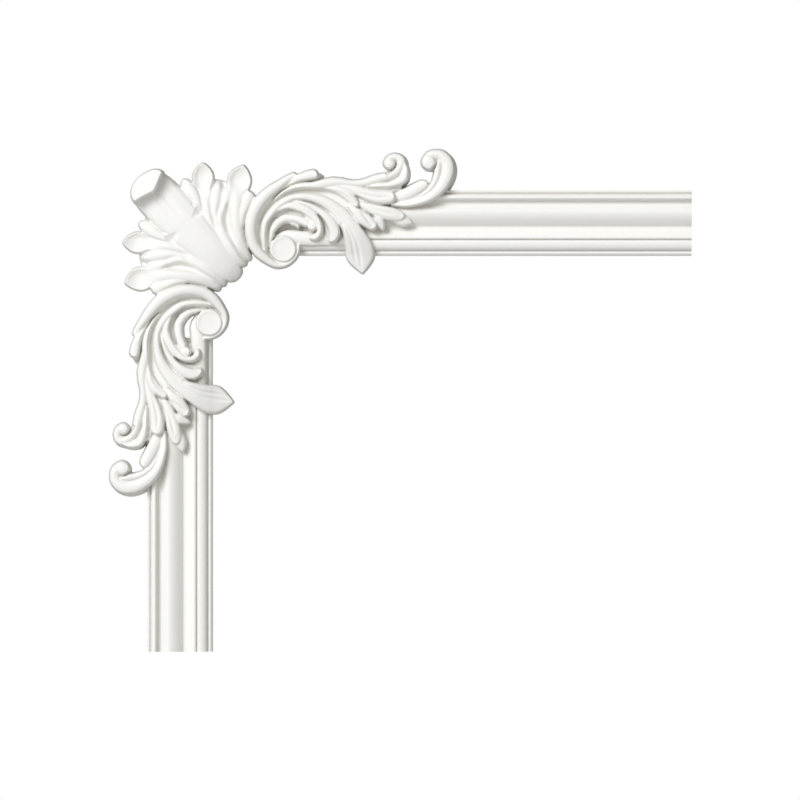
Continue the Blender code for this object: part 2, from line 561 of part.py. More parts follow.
def main():
    for old in list(bpy.data.objects):
        bpy.data.objects.remove(old, do_unlink=True)
    corner_moulding()


main()
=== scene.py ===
# %% [markdown]
# # A rococo corner of a wall panel moulding
#
# The object is one casting of primed white polyurethane: a carved-looking ornament on the diagonal, with a
# short square-cut length of moulding running each way from it. This lesson builds the casting as one dense
# mesh, gives it a matte primed finish, and lights it like a catalogue picture.
#
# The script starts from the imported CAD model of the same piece. That model fixes the size and the place of
# everything, and the mesh made here stands in for it at full detail.

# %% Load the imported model
import math

import bmesh
import bpy
import numpy as np
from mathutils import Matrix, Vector
from mathutils.bvhtree import BVHTree


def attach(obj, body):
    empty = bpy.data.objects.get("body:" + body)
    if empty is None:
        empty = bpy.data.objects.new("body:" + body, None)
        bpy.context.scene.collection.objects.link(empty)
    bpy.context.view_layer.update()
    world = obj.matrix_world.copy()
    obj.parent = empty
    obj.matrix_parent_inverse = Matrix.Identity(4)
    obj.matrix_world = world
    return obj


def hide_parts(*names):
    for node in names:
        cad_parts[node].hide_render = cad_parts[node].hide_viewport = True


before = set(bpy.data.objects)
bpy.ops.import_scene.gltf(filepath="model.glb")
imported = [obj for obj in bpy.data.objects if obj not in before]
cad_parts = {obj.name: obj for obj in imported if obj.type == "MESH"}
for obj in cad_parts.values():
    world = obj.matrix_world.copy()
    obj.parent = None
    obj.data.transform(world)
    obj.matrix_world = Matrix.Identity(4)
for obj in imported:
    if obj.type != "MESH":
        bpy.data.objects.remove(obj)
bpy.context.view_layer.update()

MM = 0.001

# %% [markdown]
# ## The camera
#
# The picture is square-on, with no visible perspective, so the camera stands far back with a long lens. A
# lens of 540 mm on a sensor 36 mm wide sees 0.8 m across from 12 m away. One millimetre of the casting is
# then one pixel of an 800-pixel picture, which makes it easy to compare the two. The distance is taken to
# the middle of the relief, 20 mm in front of the wall, so that high and low forms both sit true.

# %% Camera
PICTURE_MIDDLE = (400, 400)      # pixels from the left and from the top of an 800-pixel picture
ORIGIN_PIXEL = (180, 223)        # where the centre lines of the runs cross in that picture
RELIEF_MIDDLE = 0.02             # metres in front of the wall
DISTANCE = 12.0                  # metres from there to the camera
LENS, SENSOR = 540, 36           # millimetres

eye = bpy.data.objects.new("camera", bpy.data.cameras.new("camera"))
eye.location = ((PICTURE_MIDDLE[0] - ORIGIN_PIXEL[0]) * MM, -DISTANCE - RELIEF_MIDDLE,
                (ORIGIN_PIXEL[1] - PICTURE_MIDDLE[1]) * MM)
eye.rotation_euler = (math.radians(90), 0, 0)
eye.data.lens = LENS
eye.data.sensor_width = SENSOR
bpy.context.scene.collection.objects.link(eye)
bpy.context.scene.camera = eye
print("camera sees", DISTANCE * SENSOR / LENS, "m across")

# %% [markdown]
# ## Smooth lines
#
# Every leaf and scroll of the ornament follows a line drawn on the wall. The line is given by a few rows of
# x, z, half width and height, in millimetres from where the centre lines of the two runs cross. A
# Catmull-Rom curve fills in between the rows. This curve passes through all its points, so a place that was
# measured stays where it was measured.


# %% A smooth line through a few rows
def smooth_line(rows, steps=14):
    """A smooth line through rows of x, z and any other measures, and its length up to each point."""
    rows = np.array(rows, float)
    points = np.vstack([2 * rows[0] - rows[1], rows, 2 * rows[-1] - rows[-2]])
    line = []
    for i in range(1, len(points) - 2):
        before, start, end, after = points[i - 1:i + 3]
        for k in range(steps):
            t = k / steps
            bend = 2 * before - 5 * start + 4 * end - after
            twist = -before + 3 * start - 3 * end + after
            line.append(start + 0.5 * ((end - before) * t + bend * t ** 2 + twist * t ** 3))
    line = np.array(line + [points[-2]])
    pace = np.linalg.norm(np.diff(line[:, :2], axis=0), axis=1)
    return line, np.concatenate([[0.0], np.cumsum(pace)])


print("a line of 3 rows gets", len(smooth_line([(0, 0, 1, 1), (1, 0, 1, 1), (2, 1, 1, 1)])[0]), "points")

# %% [markdown]
# ## Cross-sections
#
# A carver thinks of a leaf as a section swept along its rib: rounded like a cord, crowned like a leaf's
# back, or spooned like a leaf that curls up. Each section here is a small formula. It takes s, which runs
# from -1 at one edge to 1 at the other, and gives how far the surface lies below the crest, as a share of
# the half width. Formulas are easier to tune than lists of points, and they work at any density.


# %% The sections of leaves and strands
def valley(s, centre, width, depth):
    """One soft groove, to be added to a section."""
    return -depth * np.exp(-((s - centre) / width) ** 2)


def rounded(s):
    """Nearly half a circle, for strands and curls."""
    return -0.9 * (1 - np.sqrt(1 - 0.9 * s ** 2))


def crowned(s):
    """A low arch, for small leaves."""
    return -0.30 * s ** 2 - 0.14 * np.abs(s) ** 6


def flat(s):
    """Nearly level with a rolled edge, for the ground between the forms."""
    return -0.06 * s ** 2 - 0.14 * np.abs(s) ** 10


def spooned(s):
    """Hollow with a raised edge and faint ribs, for the big leaf tips."""
    return -0.46 * (1 - np.abs(s) ** 2.8) - 0.10 * np.abs(s) ** 16 - 0.007 * np.cos(15 * s)


def veined(s):
    """A low arch with two grooves, for the drooping leaf."""
    return (-0.16 * s ** 2 - 0.12 * np.abs(s) ** 10 + valley(s, -0.42, 0.10, 0.07)
            + valley(s, -0.05, 0.12, 0.06))


def fluted(s):
    """A low arch with two narrow flutes and a wide one, for the trumpet."""
    return (-0.13 * s ** 2 - 0.12 * np.abs(s) ** 7 + valley(s, -0.62, 0.10, 0.014)
            + valley(s, 0.66, 0.10, 0.014) + valley(s, 0.0, 0.35, 0.02))


for section in (rounded, crowned, flat, spooned, veined, fluted):
    print(section.__name__, "drops by", round(float(-section(np.array(1.0))), 2), "at its edge")

# %% [markdown]
# ## Ends and walls
#
# The half width dies away towards a tip, and the way it does so makes the tip round, or pointed like a
# leaf, or an ogive between the two. A cut end stays as wide as it is. The sides of every form are walls
# that lean out a little as they drop. A one-piece mould needs that draft, or the casting would not come out
# of it. The walls that face the panel lean more, and the picture shows them as grey bands on the lower
# right of each form.

# %% Tips and the lean of the walls
END_SHAPES = {
    "round": lambda q: np.sqrt(np.maximum(0.0, 1 - (1 - q) ** 2)),
    "leaf": lambda q: q * (2 - q),
    "ogive": lambda q: (q * (2 - q)) ** 0.75,
    "cut": lambda q: np.ones_like(q),
}
DRAFT = 0.015                # how far a wall leans out for each unit it drops, on every side
LEAN = 0.08                  # how much more it leans on the sides that face the panel
LEAN_TOWARDS = (0.72, -0.69)
BELOW_BACK = -7.0            # walls run on past the back plane, which later cuts them off
TOO_CLOSE = 0.4              # rim points this close together give no safe direction


def outward(rim):
    """Unit directions out of a closed rim that runs with its outside on the right-hand side."""
    for reach in (1, 2, 3, 4):
        along = np.roll(rim, -reach, axis=0) - np.roll(rim, reach, axis=0)
        if reach == 1:
            best = along
        short = np.linalg.norm(best, axis=1) < TOO_CLOSE
        best[short] = along[short]
    size = np.linalg.norm(best, axis=1, keepdims=True) + 1e-9
    return np.stack([best[:, 1], -best[:, 0]], axis=1) / size


def wall_offsets(out, heights, lean):
    """How far the foot of the wall lies from its rim at each rim point."""
    towards = np.maximum(0.0, out @ np.array(LEAN_TOWARDS))
    return (heights - BELOW_BACK) * (DRAFT + lean * towards)


facing = np.array([LEAN_TOWARDS, (-LEAN_TOWARDS[0], -LEAN_TOWARDS[1])])
print("wall feet at 25 mm, towards and away:", wall_offsets(facing, np.array([25.0, 25.0]), LEAN).round(2))

# %% [markdown]
# ## Fronds
#
# A frond is the one form that most of the ornament is made of: a section swept along a smooth line, with
# walls all round. It could be a curve object with a bevel, but a bevel keeps one section all along. Here
# the section may change on the way, as a strand that opens into a leaf does.


# %% A frond with its walls
LEAST_HALF, LEAST_TIP = 0.05, 0.03           # the thinnest half width along a line and at its ends
SHOULDER_OUT, SHOULDER_DOWN = 0.35, 0.5      # the small shoulder between a surface and its wall


def frond(rows, section=rounded, tip="round", tail="cut", tip_length=0.0, tail_length=0.0, lean=LEAN,
          tilt=0.0, columns=33, changes_to=None):
    """Points and faces of one frond, whose rows are x, z, half width and height along its line.

    tilt raises its left edge. changes_to is another section, and where the change starts and ends, as
    shares of the length.
    """
    line, length = smooth_line(rows)
    count = len(line)
    along = np.gradient(line[:, :2], axis=0)
    along /= np.linalg.norm(along, axis=1, keepdims=True) + 1e-9
    across = np.stack([-along[:, 1], along[:, 0]], axis=1)
    half = np.maximum(line[:, 2], LEAST_HALF)
    total = length[-1]
    for shape, distance, reach, end in ((tip, total - length, tip_length, half[-1]),
                                        (tail, length, tail_length, half[0])):
        half = half * END_SHAPES[shape](np.clip(distance / (reach or max(end, 0.5)), 0, 1))
    half = np.maximum(half, LEAST_TIP)
    s = np.sin(np.linspace(-1, 1, columns) * math.pi / 2)
    shape = np.repeat(section(s)[None], count, axis=0)
    if changes_to:
        other, start, end = changes_to
        share = np.clip((length / total - start) / (end - start), 0, 1)
        share = (share ** 2 * (3 - 2 * share))[:, None]
        shape = shape * (1 - share) + other(s)[None] * share
    plan = line[:, None, :2] + across[:, None] * (half[:, None, None] * s[None, :, None])
    height = line[:, 3][:, None] + half[:, None] * (shape + tilt * s[None])
    points = np.dstack([plan, height]).reshape(-1, 3)
    index = np.arange(count * columns).reshape(count, columns)
    faces = [(index[i, j], index[i + 1, j], index[i + 1, j + 1], index[i, j + 1])
             for i in range(count - 1) for j in range(columns - 1)]
    loop = list(index[:, 0]) + list(index[-1, 1:-1]) + list(index[::-1, -1]) + list(index[0, -2:0:-1])
    return walled(points, faces, loop, lean, count, columns)


def walled(points, faces, loop, lean, count, columns):
    """A swept surface with a small shoulder and a wall added round its edge.

    lean is one number, or one for the left and one for the right side, and either may be a row of them.
    """
    rim = points[loop]
    out = outward(rim[:, :2])
    if isinstance(lean, tuple):
        steps = np.linspace(0, 1, count)
        left, right = [np.interp(steps, np.linspace(0, 1, np.size(side)), np.atleast_1d(side))
                       for side in lean]
        tip, tail = [np.full(columns - 2, (left[end] + right[end]) / 2) for end in (-1, 0)]
        lean = np.concatenate([right, tip, left[::-1], tail])
    offset = wall_offsets(out, rim[:, 2], lean)[:, None]
    shoulder = np.hstack([rim[:, :2] + out * SHOULDER_OUT, rim[:, 2:] - SHOULDER_DOWN])
    foot = np.hstack([rim[:, :2] + out * offset, np.full((len(rim), 1), BELOW_BACK)])
    first, ring = len(points), len(rim)
    for a in range(ring):
        b = (a + 1) % ring
        faces.append((loop[a], first + a, first + b, loop[b]))
        faces.append((first + a, first + ring + a, first + ring + b, first + b))
    return np.vstack([points, shoulder, foot]), faces


print("a short frond has", len(frond([(0, 0, 2, 9), (9, 3, 3, 9), (18, 3, 2, 9)])[1]), "faces")

# %% [markdown]
# ## Round bosses and flat plates
#
# The ball at the end of each curl and the flat eye of the scroll are round, so they are turned from rings.
# The lip of the trumpet is a flat face with a free outline. It is built from rings too, each one a smaller
# copy of the outline, and its face climbs towards the panel so that the edge over the trumpet's mouth
# stands highest.


# %% Bosses and plates
def ringed(top, rings):
    """Points and faces of a form built from rings: a fan from its top, then a band between each two."""
    points = np.vstack([[top]] + rings)
    count = len(rings[0])
    after = [(j + 1) % count for j in range(count)]
    faces = [(0, 1 + j, 1 + after[j]) for j in range(count)]
    for inner in range(1, len(points) - count, count):
        outer = inner + count
        faces += [(inner + j, outer + j, outer + after[j], inner + after[j]) for j in range(count)]
    return points, faces


def boss(x, z, radius, height, flat_radius=0.0, bulge=0.9, lean=LEAN, sides=72):
    """Points and faces of a round boss: a flat disc, a rounded shoulder and a wall."""
    angle = np.linspace(0, 2 * math.pi, sides, endpoint=False)
    unit = np.stack([np.cos(angle), np.sin(angle)], axis=1)
    middle = np.array([x, z])
    rings = []
    for turn in np.linspace(0.04, 1, 15) * math.pi / 2:
        spread = (radius - flat_radius) * math.sin(turn)
        drop = (radius - flat_radius) * bulge * (1 - math.cos(turn))
        rings.append(np.hstack([middle + unit * (flat_radius + spread), np.full((sides, 1), height - drop)]))
    edge = rings[-1][:, 2]
    reach = radius + wall_offsets(unit, edge, lean)
    rings.append(np.hstack([middle + unit * reach[:, None], np.full((sides, 1), BELOW_BACK)]))
    return ringed([x, z, height], rings)


def plate(outline, height, rise, lean, rounding, steps=12):
    """Points and faces of a flat-faced form with a closed smooth outline, which runs anticlockwise.

    height is that of the face's plane over the origin, rise is how far it climbs for each millimetre
    towards the panel, and rounding is how far its rim lies below it.
    """
    line = smooth_line(outline + outline[:4], steps)[0]
    span = steps * len(outline)
    rim = line[steps:steps + span]
    out = outward(rim)
    middle = rim.mean(axis=0)
    towards = np.array(LEAN_TOWARDS)
    rings = []
    for share, drop in ((0.5, 0.0), (0.8, 0.0), (0.93, 0.1), (1.0, rounding)):
        place = middle + (rim - middle) * share
        level = height + rise * (place @ towards)
        rings.append(np.hstack([place, (level - drop)[:, None]]))
    foot = rim + out * wall_offsets(out, rings[-1][:, 2], lean)[:, None]
    rings.append(np.hstack([foot, np.full((span, 1), BELOW_BACK)]))
    return ringed([middle[0], middle[1], height + rise * (middle @ towards)], rings)


def face_count(shapes):
    """How many faces some shapes have together."""
    return sum(len(faces) for points, faces in shapes)


print("a boss of 6 mm has", face_count([boss(0, 0, 6, 20)]), "faces")

# %% [markdown]
# ## The trumpet and its lip
#
# The trumpet lies on the diagonal and narrows towards the collar. It is one wide frond with shallow flutes.
# The lip is a plate that stands well above it, and its steep wall makes the deep shadow at the mouth.


# %% The trumpet and its lip
def cartouche():
    """The trumpet on the diagonal and its rolled lip."""
    trumpet = frond([
        (-33, 37, 19.8, 24), (-27, 31, 21.6, 24.6), (-20, 24, 22.4, 26), (-11, 14.5, 21.6, 27.8),
        (-2, 5.5, 20.8, 28.4), (8, -4.8, 20.8, 28.4), (16.5, -13.3, 19, 28.4), (25.3, -21.8, 17, 28),
        (33.5, -30.3, 15, 27), (41, -37.8, 12.9, 25), (49, -45.8, 11.1, 21.5), (54.5, -51.5, 9.4, 17),
        (58.5, -55.8, 8.2, 12)
    ], fluted, tip_length=5, columns=65, lean=0.0)
    lip = plate([
        (-43, 22.2), (-38, 25.2), (-30.5, 28.9), (-26.8, 30.6), (-25, 32.3), (-22, 39), (-19, 46.5),
        (-17.3, 51), (-20.5, 53.3), (-26.5, 53.8), (-33, 51.5), (-39.5, 47.5), (-45, 42), (-48.5, 35),
        (-49.3, 29), (-48, 24), (-45.5, 20.5)
    ], 48.9, 0.18, 0.03, 0.5)
    return [trumpet, lip]


print("cartouche:", face_count(cartouche()), "faces")

# %% [markdown]
# ## The acanthus fan
#
# Five leaves fan out beside the trumpet on each side of the diagonal, with a sprig between the third and
# the fourth. The second and the fourth are the big ones: they start as round stems and open into spooned
# tips. The webs and the base below them close the gaps, as the ground of a carving does. The band is the
# collar from which the scroll sets off, and the slope is the ground that falls away beside it.


# %% The acanthus fan
def acanthus():
    """The leaves that fan out beside the cartouche, from its lip round to its collar."""
    low_web = frond([
        (-6, 33, 4, 10), (6, 33, 6.5, 11), (20, 33, 8.5, 12), (38, 34, 9.3, 12.5), (50, 34, 6, 12)
    ], flat, tip_length=3)
    web = frond([
        (4, 26, 6, 16), (16, 19, 9, 19), (28, 14, 12, 20), (42, 12, 14, 20), (53, 5, 13, 20),
        (59, -9, 10, 19), (67, -26, 3, 15)
    ], flat, tip_length=4)
    base = frond([
        (14, 14, 8, 21.5), (24, 5, 8, 22.5), (34, -6, 8, 24), (44, -16, 8, 24.5), (53, -26, 7, 23),
        (61, -35, 5, 18.5)
    ], flat, tip_length=4)
    slope = frond([
        (45.5, 3, 2.5, 22.5), (47.5, -6, 3.6, 22.3), (51.3, -14, 4, 22.2), (56.3, -23, 4, 21.6),
        (61.5, -31, 3.6, 19), (66.3, -38.5, 2.6, 14.5)
    ], flat, tip_length=4, tail="round", tilt=-0.7)
    first = frond([
        (23, 9, 2.5, 24.5), (17.8, 19, 4.8, 25), (12.4, 29, 6.4, 24.3), (7.6, 36, 6.4, 23),
        (3.2, 44.3, 4.4, 20.5)
    ], crowned, tip_length=7, lean=0.03)
    second = frond([
        (33, -8, 2, 24.5), (28.5, 8, 4.2, 25.6), (26.3, 20, 5, 25.3), (25, 30, 5.9, 24),
        (23.3, 37, 8.8, 22.3), (22.9, 45, 10.7, 20.8), (22.8, 60.6, 9.5, 21)
    ], rounded, tip="ogive", tip_length=14, changes_to=(spooned, 0.35, 0.66), lean=0.02)
    third = frond([
        (46, -12, 2.5, 24.5), (39, 4, 4, 26), (35.6, 17, 5, 25.5), (36.4, 28, 5.4, 24), (39.6, 42.3, 4.4, 19)
    ], crowned, tip="leaf", tip_length=10)
    sprig = frond([
        (46, -2, 2, 23), (43.6, 8, 2.6, 24.3), (43.9, 17, 3.6, 24.6), (46.4, 24.5, 5, 24.3),
        (46.8, 30, 4.4, 23), (45, 36.3, 2, 20)
    ], crowned, tip="leaf", tip_length=6)
    band = frond([
        (38, -6, 2, 25), (44, -14, 3.8, 26), (50, -22.5, 4.6, 26), (55.8, -30.5, 4.7, 24),
        (61, -37.3, 4.3, 20), (65, -42.3, 3.4, 15)
    ], rounded, tip_length=3, tail="round", lean=0.1)
    fourth = frond([
        (71, -37, 3, 12), (66.5, -32, 4.2, 17.5), (60.2, -20, 5.4, 23.5), (57, -6, 6, 26), (56, 8, 6.4, 26.8),
        (56.3, 20, 7.2, 26.3), (57.6, 30, 9.4, 24.3), (58.6, 38, 11.4, 22.3), (59.8, 45, 11.8, 21),
        (63.8, 58.3, 9, 21.3)
    ], rounded, tip="ogive", tip_length=14, tail="round", tail_length=3, changes_to=(spooned, 0.6, 0.82),
       lean=0.02)
    fifth = frond([
        (61, -4, 2, 25), (62, 8, 4.5, 26.3), (65.5, 19, 5.6, 25.6), (70, 28, 5.6, 23.5), (72, 31, 4.6, 22)
    ], crowned, tip_length=4)
    return [low_web, web, base, slope, first, second, third, sprig, band, fourth, fifth]


print("acanthus:", face_count(acanthus()), "faces")

# %% [markdown]
# ## The C-scroll
#
# The scroll is a thick rim that ends in a lobe, with finer strands inside that follow it round to a flat
# eye. Each strand gets its own height, because the picture reads as layers: the rim highest, the strands
# stepping down inside, and a dark recess behind the eye. The pad is low ground beside that recess, without
# which a slit would open there. A small tongue lies in the recess of the top scroll alone.


# %% The C-scroll
def scroll(with_tongue):
    """The C-scroll: its rim and lobe, the hook, the strands inside it and the flat eye."""
    web = frond([
        (114, -36, 2, 7), (100, -40, 3, 8), (86, -33, 6, 11), (78.5, -16, 8, 15.5), (81, 4, 8, 16.8),
        (92, 18, 7, 17.4), (106, 25, 8.5, 18), (122, 27, 10, 18.2), (140, 25, 13, 18.2), (156, 24, 16, 18.4),
        (172, 22, 15, 18.4), (190, 24, 11, 18), (206, 24, 7, 17)
    ], flat, tip_length=8)
    rim = frond([
        (118.3, -21, 1.3, 15), (117.7, -27, 1.9, 16.2), (114.8, -33.5, 2.4, 16.6), (109.5, -38.7, 2.7, 16.8),
        (103, -41.7, 2.9, 17), (95.5, -41.6, 3.4, 18), (87.5, -37.3, 4.1, 19.3), (79.3, -30.5, 4.9, 21.5),
        (73, -21, 5.1, 23.5), (70.4, -8, 5.2, 25.8), (71.3, 4, 5.5, 27), (75.5, 15, 5.8, 27.5),
        (82.3, 25, 5.8, 27.3), (91, 33, 5.2, 26.5), (100.5, 39.5, 4.5, 25.5), (107.5, 44, 4.1, 25),
        (117, 48.8, 3.9, 24)
    ], rounded, lean=(0.05, (0.05, 0.1, 0.45, 0.5, 0.3, 0.08)))
    lobe = frond([
        (100, 33.6, 0.6, 22.5), (107, 38.8, 1.5, 24), (114, 43, 2.8, 25.5), (122, 46.5, 4, 27),
        (130, 48.6, 4.7, 28), (137.6, 49.4, 4.6, 28)
    ], crowned, tip_length=4.2, lean=(0.05, (0.15, 0.28)))
    hook = frond([
        (109, 21.6, 0.5, 20.5), (120, 20.6, 1.4, 22), (130.5, 17, 2.4, 22.8), (141, 11, 3.4, 23.3),
        (149, 3.8, 4.6, 23.6), (153.6, -4.6, 5.2, 23.3), (154, -12, 4.6, 22.3), (150.5, -19.3, 3, 20)
    ], crowned, tip_length=4, lean=(0.12, 0.05))
    flank = frond([
        (134, 15, 1.5, 19.5), (141, 10.5, 2.6, 18.5), (146, 3.5, 3.6, 17), (147.8, -4, 4.2, 15.5),
        (147.6, -11, 4, 14), (145, -18, 3, 12)
    ], flat, tip_length=5, lean=0.0, tilt=0.6)
    tongue = frond([
        (108, 2.5, 2, 17.5), (113, 0.6, 3, 17.8), (117, -2, 2.2, 17), (118.6, -6.5, 1, 15.5)
    ], crowned, tip="leaf", tip_length=5, lean=0.05)
    inner_curl = frond([
        (88.5, 4.5, 0.6, 18.5), (94, 11.4, 1.9, 20.5), (100, 14.9, 2.8, 21.3), (107, 17.2, 3.1, 21.8),
        (114, 16.8, 3.6, 22), (121, 14.4, 4, 22.3), (127.5, 10.6, 4.4, 22.3), (133.2, 6, 4.6, 22.3),
        (137.8, 0.6, 3.2, 22.3), (139.6, -5, 2.4, 21.6), (138.6, -10.6, 2.6, 20.6), (134.6, -14.2, 2.8, 19.6),
        (129.3, -14, 2.3, 18.6)
    ], rounded, lean=(0.25, 0.1))
    curl_ball = boss(132.2, -2.5, 5.2, 21.6, bulge=0.45, lean=0.1)
    inner_strand = frond([
        (89.6, -21, 0.7, 13), (91, -14, 1.8, 15), (92.4, -7.5, 2.6, 16.8), (95.6, -2, 3.4, 18),
        (99.6, 2, 4, 18.8), (104.8, 4.6, 4.3, 19.3), (110.8, 5, 4.4, 19.8), (117, 4, 4.2, 20.3),
        (123.4, 1.8, 4.2, 20.8), (129, -1, 4.2, 21.3)
    ], rounded, lean=(0.05, 0.12))
    eye = boss(103, -26, 13.2, 18.6, flat_radius=11.8, bulge=0.9, lean=0.06)
    pad = frond([
        (95, 5, 2, 12.5), (89.5, -1, 3.4, 13.5), (87.6, -8, 3.6, 13.5), (87.8, -16, 3.4, 13),
        (90.5, -24, 2.6, 12)
    ], flat)
    bed = frond([
        (96, -18, 5, 13), (106, -14.4, 7.4, 13.8), (117, -15, 7.8, 14), (128, -15.6, 7.8, 13.6),
        (142, -15.6, 7.7, 13), (168, -15.6, 7.7, 13)
    ], crowned, tip="cut", lean=0.0)
    shapes = [web, rim, lobe, hook, flank, inner_curl, curl_ball, inner_strand, eye, pad, bed]
    return shapes + [tongue] if with_tongue else shapes


print("scroll:", face_count(scroll(with_tongue=True)), "faces")

# %% [markdown]
# ## The sprays
#
# Out of the scroll grow a drooping leaf, some side leaves and two curls that end in balls. The drooping
# leaf begins as a thin strand deep inside the scroll, so it is one long frond from there to its tip, and
# its section changes from round to veined on the way. Each curl has a fold that runs along it, and a low
# seam that fills the cleft below.


# %% The sprays
def sprays():
    """What grows out of the scroll along the run: the drooping leaf, the side leaves and the two curls."""
    main_leaf = frond([
        (86.5, -31, 0.8, 14.5), (84.2, -24, 1.8, 17), (83.3, -15, 2.4, 19), (83.5, -7, 2.6, 20.3),
        (85.1, 1, 2.9, 21), (89, 7.6, 3.2, 21.5), (94.6, 14, 3.4, 22), (102, 19.8, 3.4, 22.3),
        (110, 24, 3.2, 22.6), (119, 26, 3.3, 23), (128, 25.9, 3.6, 23.3), (137, 24, 4.4, 23.5),
        (145.5, 20.5, 5.2, 23.7), (154, 14.6, 6, 23.7), (162.5, 6.6, 7.2, 23.5), (169.6, -3.4, 8.6, 23),
        (175.2, -13.8, 11, 21), (178.8, -24, 13.8, 17.5), (180.5, -34, 14.2, 13.5), (182.4, -51, 11.5, 8.5)
    ], rounded, tip="leaf", tip_length=19, lean=0.1, changes_to=(veined, 0.5, 0.72), columns=49)
    upper = frond([
        (88, 17, 0.4, 18), (94.3, 23.4, 0.7, 20.5), (101, 29.2, 1.0, 22), (107, 33, 1.4, 23),
        (114, 36, 2.1, 24), (122, 37.7, 2.8, 24.5), (131, 37.8, 3.1, 24.8), (141, 38.8, 4.6, 25),
        (150, 40.4, 5.6, 25), (160, 41, 4.8, 24.8), (172, 39.6, 4, 24.5), (184, 40.4, 4.4, 24.8),
        (195, 43.6, 5.2, 25.3), (204, 46, 4.6, 25.5), (212.3, 48.2, 4.2, 25.5), (218, 52.6, 4.3, 25.5),
        (221, 58.6, 4.6, 25.3), (219.4, 64.4, 4.6, 25), (213.6, 66, 4.1, 25), (209, 63, 4.8, 25.5),
        (208.6, 60, 4.8, 25.5)
    ], rounded, lean=0.18)
    upper_fold = frond([
        (186, 36.3, 0.8, 23.5), (196, 37.3, 1.6, 24.6), (207, 38, 2.6, 25.5), (216, 40.2, 3.5, 26),
        (222.4, 44, 4.1, 26), (224.8, 49.4, 3.6, 25.8), (225.5, 55, 2.4, 25.3), (224.6, 60.5, 1.2, 25)
    ], rounded, tip="leaf", tip_length=5, lean=0.12)
    upper_ball = boss(209.2, 60.2, 6.3, 26.8, bulge=0.6, lean=0.1)
    seam = frond([
        (172, 36.5, 2, 19.5), (182, 36, 4, 20.5), (200, 35.5, 5, 20.8), (212, 36, 5, 20.5),
        (222, 38, 3.5, 19.5)
    ], flat, lean=0.0)
    short_leaf = frond([
        (140, 36, 1.5, 23), (152, 35.2, 3, 24), (162, 31.4, 4.2, 24.5), (170, 26, 4.6, 24.8),
        (177.3, 16.4, 3.9, 24)
    ], rounded, lean=(0.05, 0.2))
    long_leaf = frond([
        (150, 39, 2, 24), (165, 36, 3, 24.3), (178, 31.8, 4.4, 24.8), (189, 28, 5.6, 25.3),
        (200, 25.8, 6.4, 25.3), (214.8, 26.3, 5.8, 24.3)
    ], crowned, lean=0.22)
    thumb = frond([
        (168, 18, 1.5, 22), (174.5, 12.3, 4, 23.3), (181, 6.3, 6, 23.6), (188, 1.4, 6.4, 22.8),
        (196, -4, 5.6, 20.5)
    ], crowned, tip_length=5, lean=0.16)
    dart = frond([
        (190, 14, 1.5, 19), (196.5, 8, 3, 20.5), (200.4, 2, 3.7, 20), (202.6, -8.5, 2.8, 15.5)
    ], crowned, tip="leaf", tip_length=7)
    paddle = frond([
        (178, 20, 2, 20.5), (190, 15, 5, 21.3), (201, 11.5, 6.2, 21.8), (211, 9, 6.8, 21),
        (224.4, 6.3, 5.4, 18.8)
    ], crowned, tip_length=6, lean=0.12)
    last_leaf = frond([
        (205, 12, 4, 17.5), (214, 8, 7, 18.3), (223, 3, 6.5, 17), (233, 0.4, 5, 14)
    ], crowned, tip="leaf", tip_length=10)
    bud = frond([
        (205, 26, 3, 17), (216, 26.4, 5.4, 18.8), (226, 29, 6.3, 21.8), (235.5, 33.8, 6.4, 24.6),
        (247.6, 40.6, 5.6, 25.5)
    ], crowned)
    outer = frond([
        (211, 19.3, 2, 18.5), (226, 18.9, 2.7, 20.5), (238, 21.4, 3.2, 22.5), (249, 26.3, 4.4, 24),
        (258.5, 34, 5.4, 25.3), (264.8, 43.3, 6, 26), (267.6, 52.5, 6.4, 26), (266.4, 61, 6.5, 25.8),
        (261.4, 67, 6.2, 25.5), (254.5, 68.9, 5, 25.3), (248.6, 66, 5.4, 25.5), (247.8, 61.5, 6, 25.5)
    ], rounded, lean=0.18)
    outer_fold = frond([
        (240, 27, 1, 22.5), (248, 32, 2.4, 24), (253.4, 38.5, 3.4, 25), (256.6, 46, 3.9, 25.3),
        (258.3, 54, 3.7, 25.3), (259.5, 63, 2.6, 25)
    ], rounded, tip="leaf", tip_length=6, lean=0.1)
    outer_seam = frond([
        (222, 21.5, 2, 18.5), (232, 24, 2.6, 20.5), (241, 28.5, 2.6, 22.5), (248, 33, 2, 23)
    ], flat, lean=0.0)
    outer_ball = boss(248.8, 61.2, 8, 27.6, bulge=0.55, lean=0.1)
    return [main_leaf, upper, upper_fold, upper_ball, seam, short_leaf, long_leaf, thumb, dart, paddle,
            last_leaf, bud, outer, outer_fold, outer_seam, outer_ball]


print("sprays:", face_count(sprays()), "faces")

# %% [markdown]
# ## The mirrored half
#
# The two halves of the ornament are mirror images across the diagonal, but the real model was a hair out
# of true, so the side half is moved by about 3 mm each way after mirroring. What is drawn for one half
# gets a place function: as_drawn leaves it on the top half, and to_side puts it on the side half. The
# tongue in the recess is left out of the side half.

# %% The same shapes on the side run
SIDE_SHIFT = (3.0, 3.5)
MIRROR_LINE = sum(SIDE_SHIFT) / 2        # x + z between the two halves


def as_drawn(x, z):
    """A place on the top half, which is where everything is drawn."""
    return x, z


def to_side(x, z):
    """Where a place on the top half lies on the side half."""
    return SIDE_SHIFT[0] - z, SIDE_SHIFT[1] - x


def on_side_run(shape):
    """The same shape mirrored across the diagonal, as the side half has it."""
    points, faces = shape
    turned = points.copy()
    turned[:, 0], turned[:, 1] = to_side(points[:, 0], points[:, 1])
    return turned, faces


all_shapes = cartouche() + acanthus() + scroll(with_tongue=True) + sprays()
all_shapes += [on_side_run(shape) for shape in acanthus() + scroll(with_tongue=False) + sprays()]
print(len(all_shapes), "shapes make the ornament")

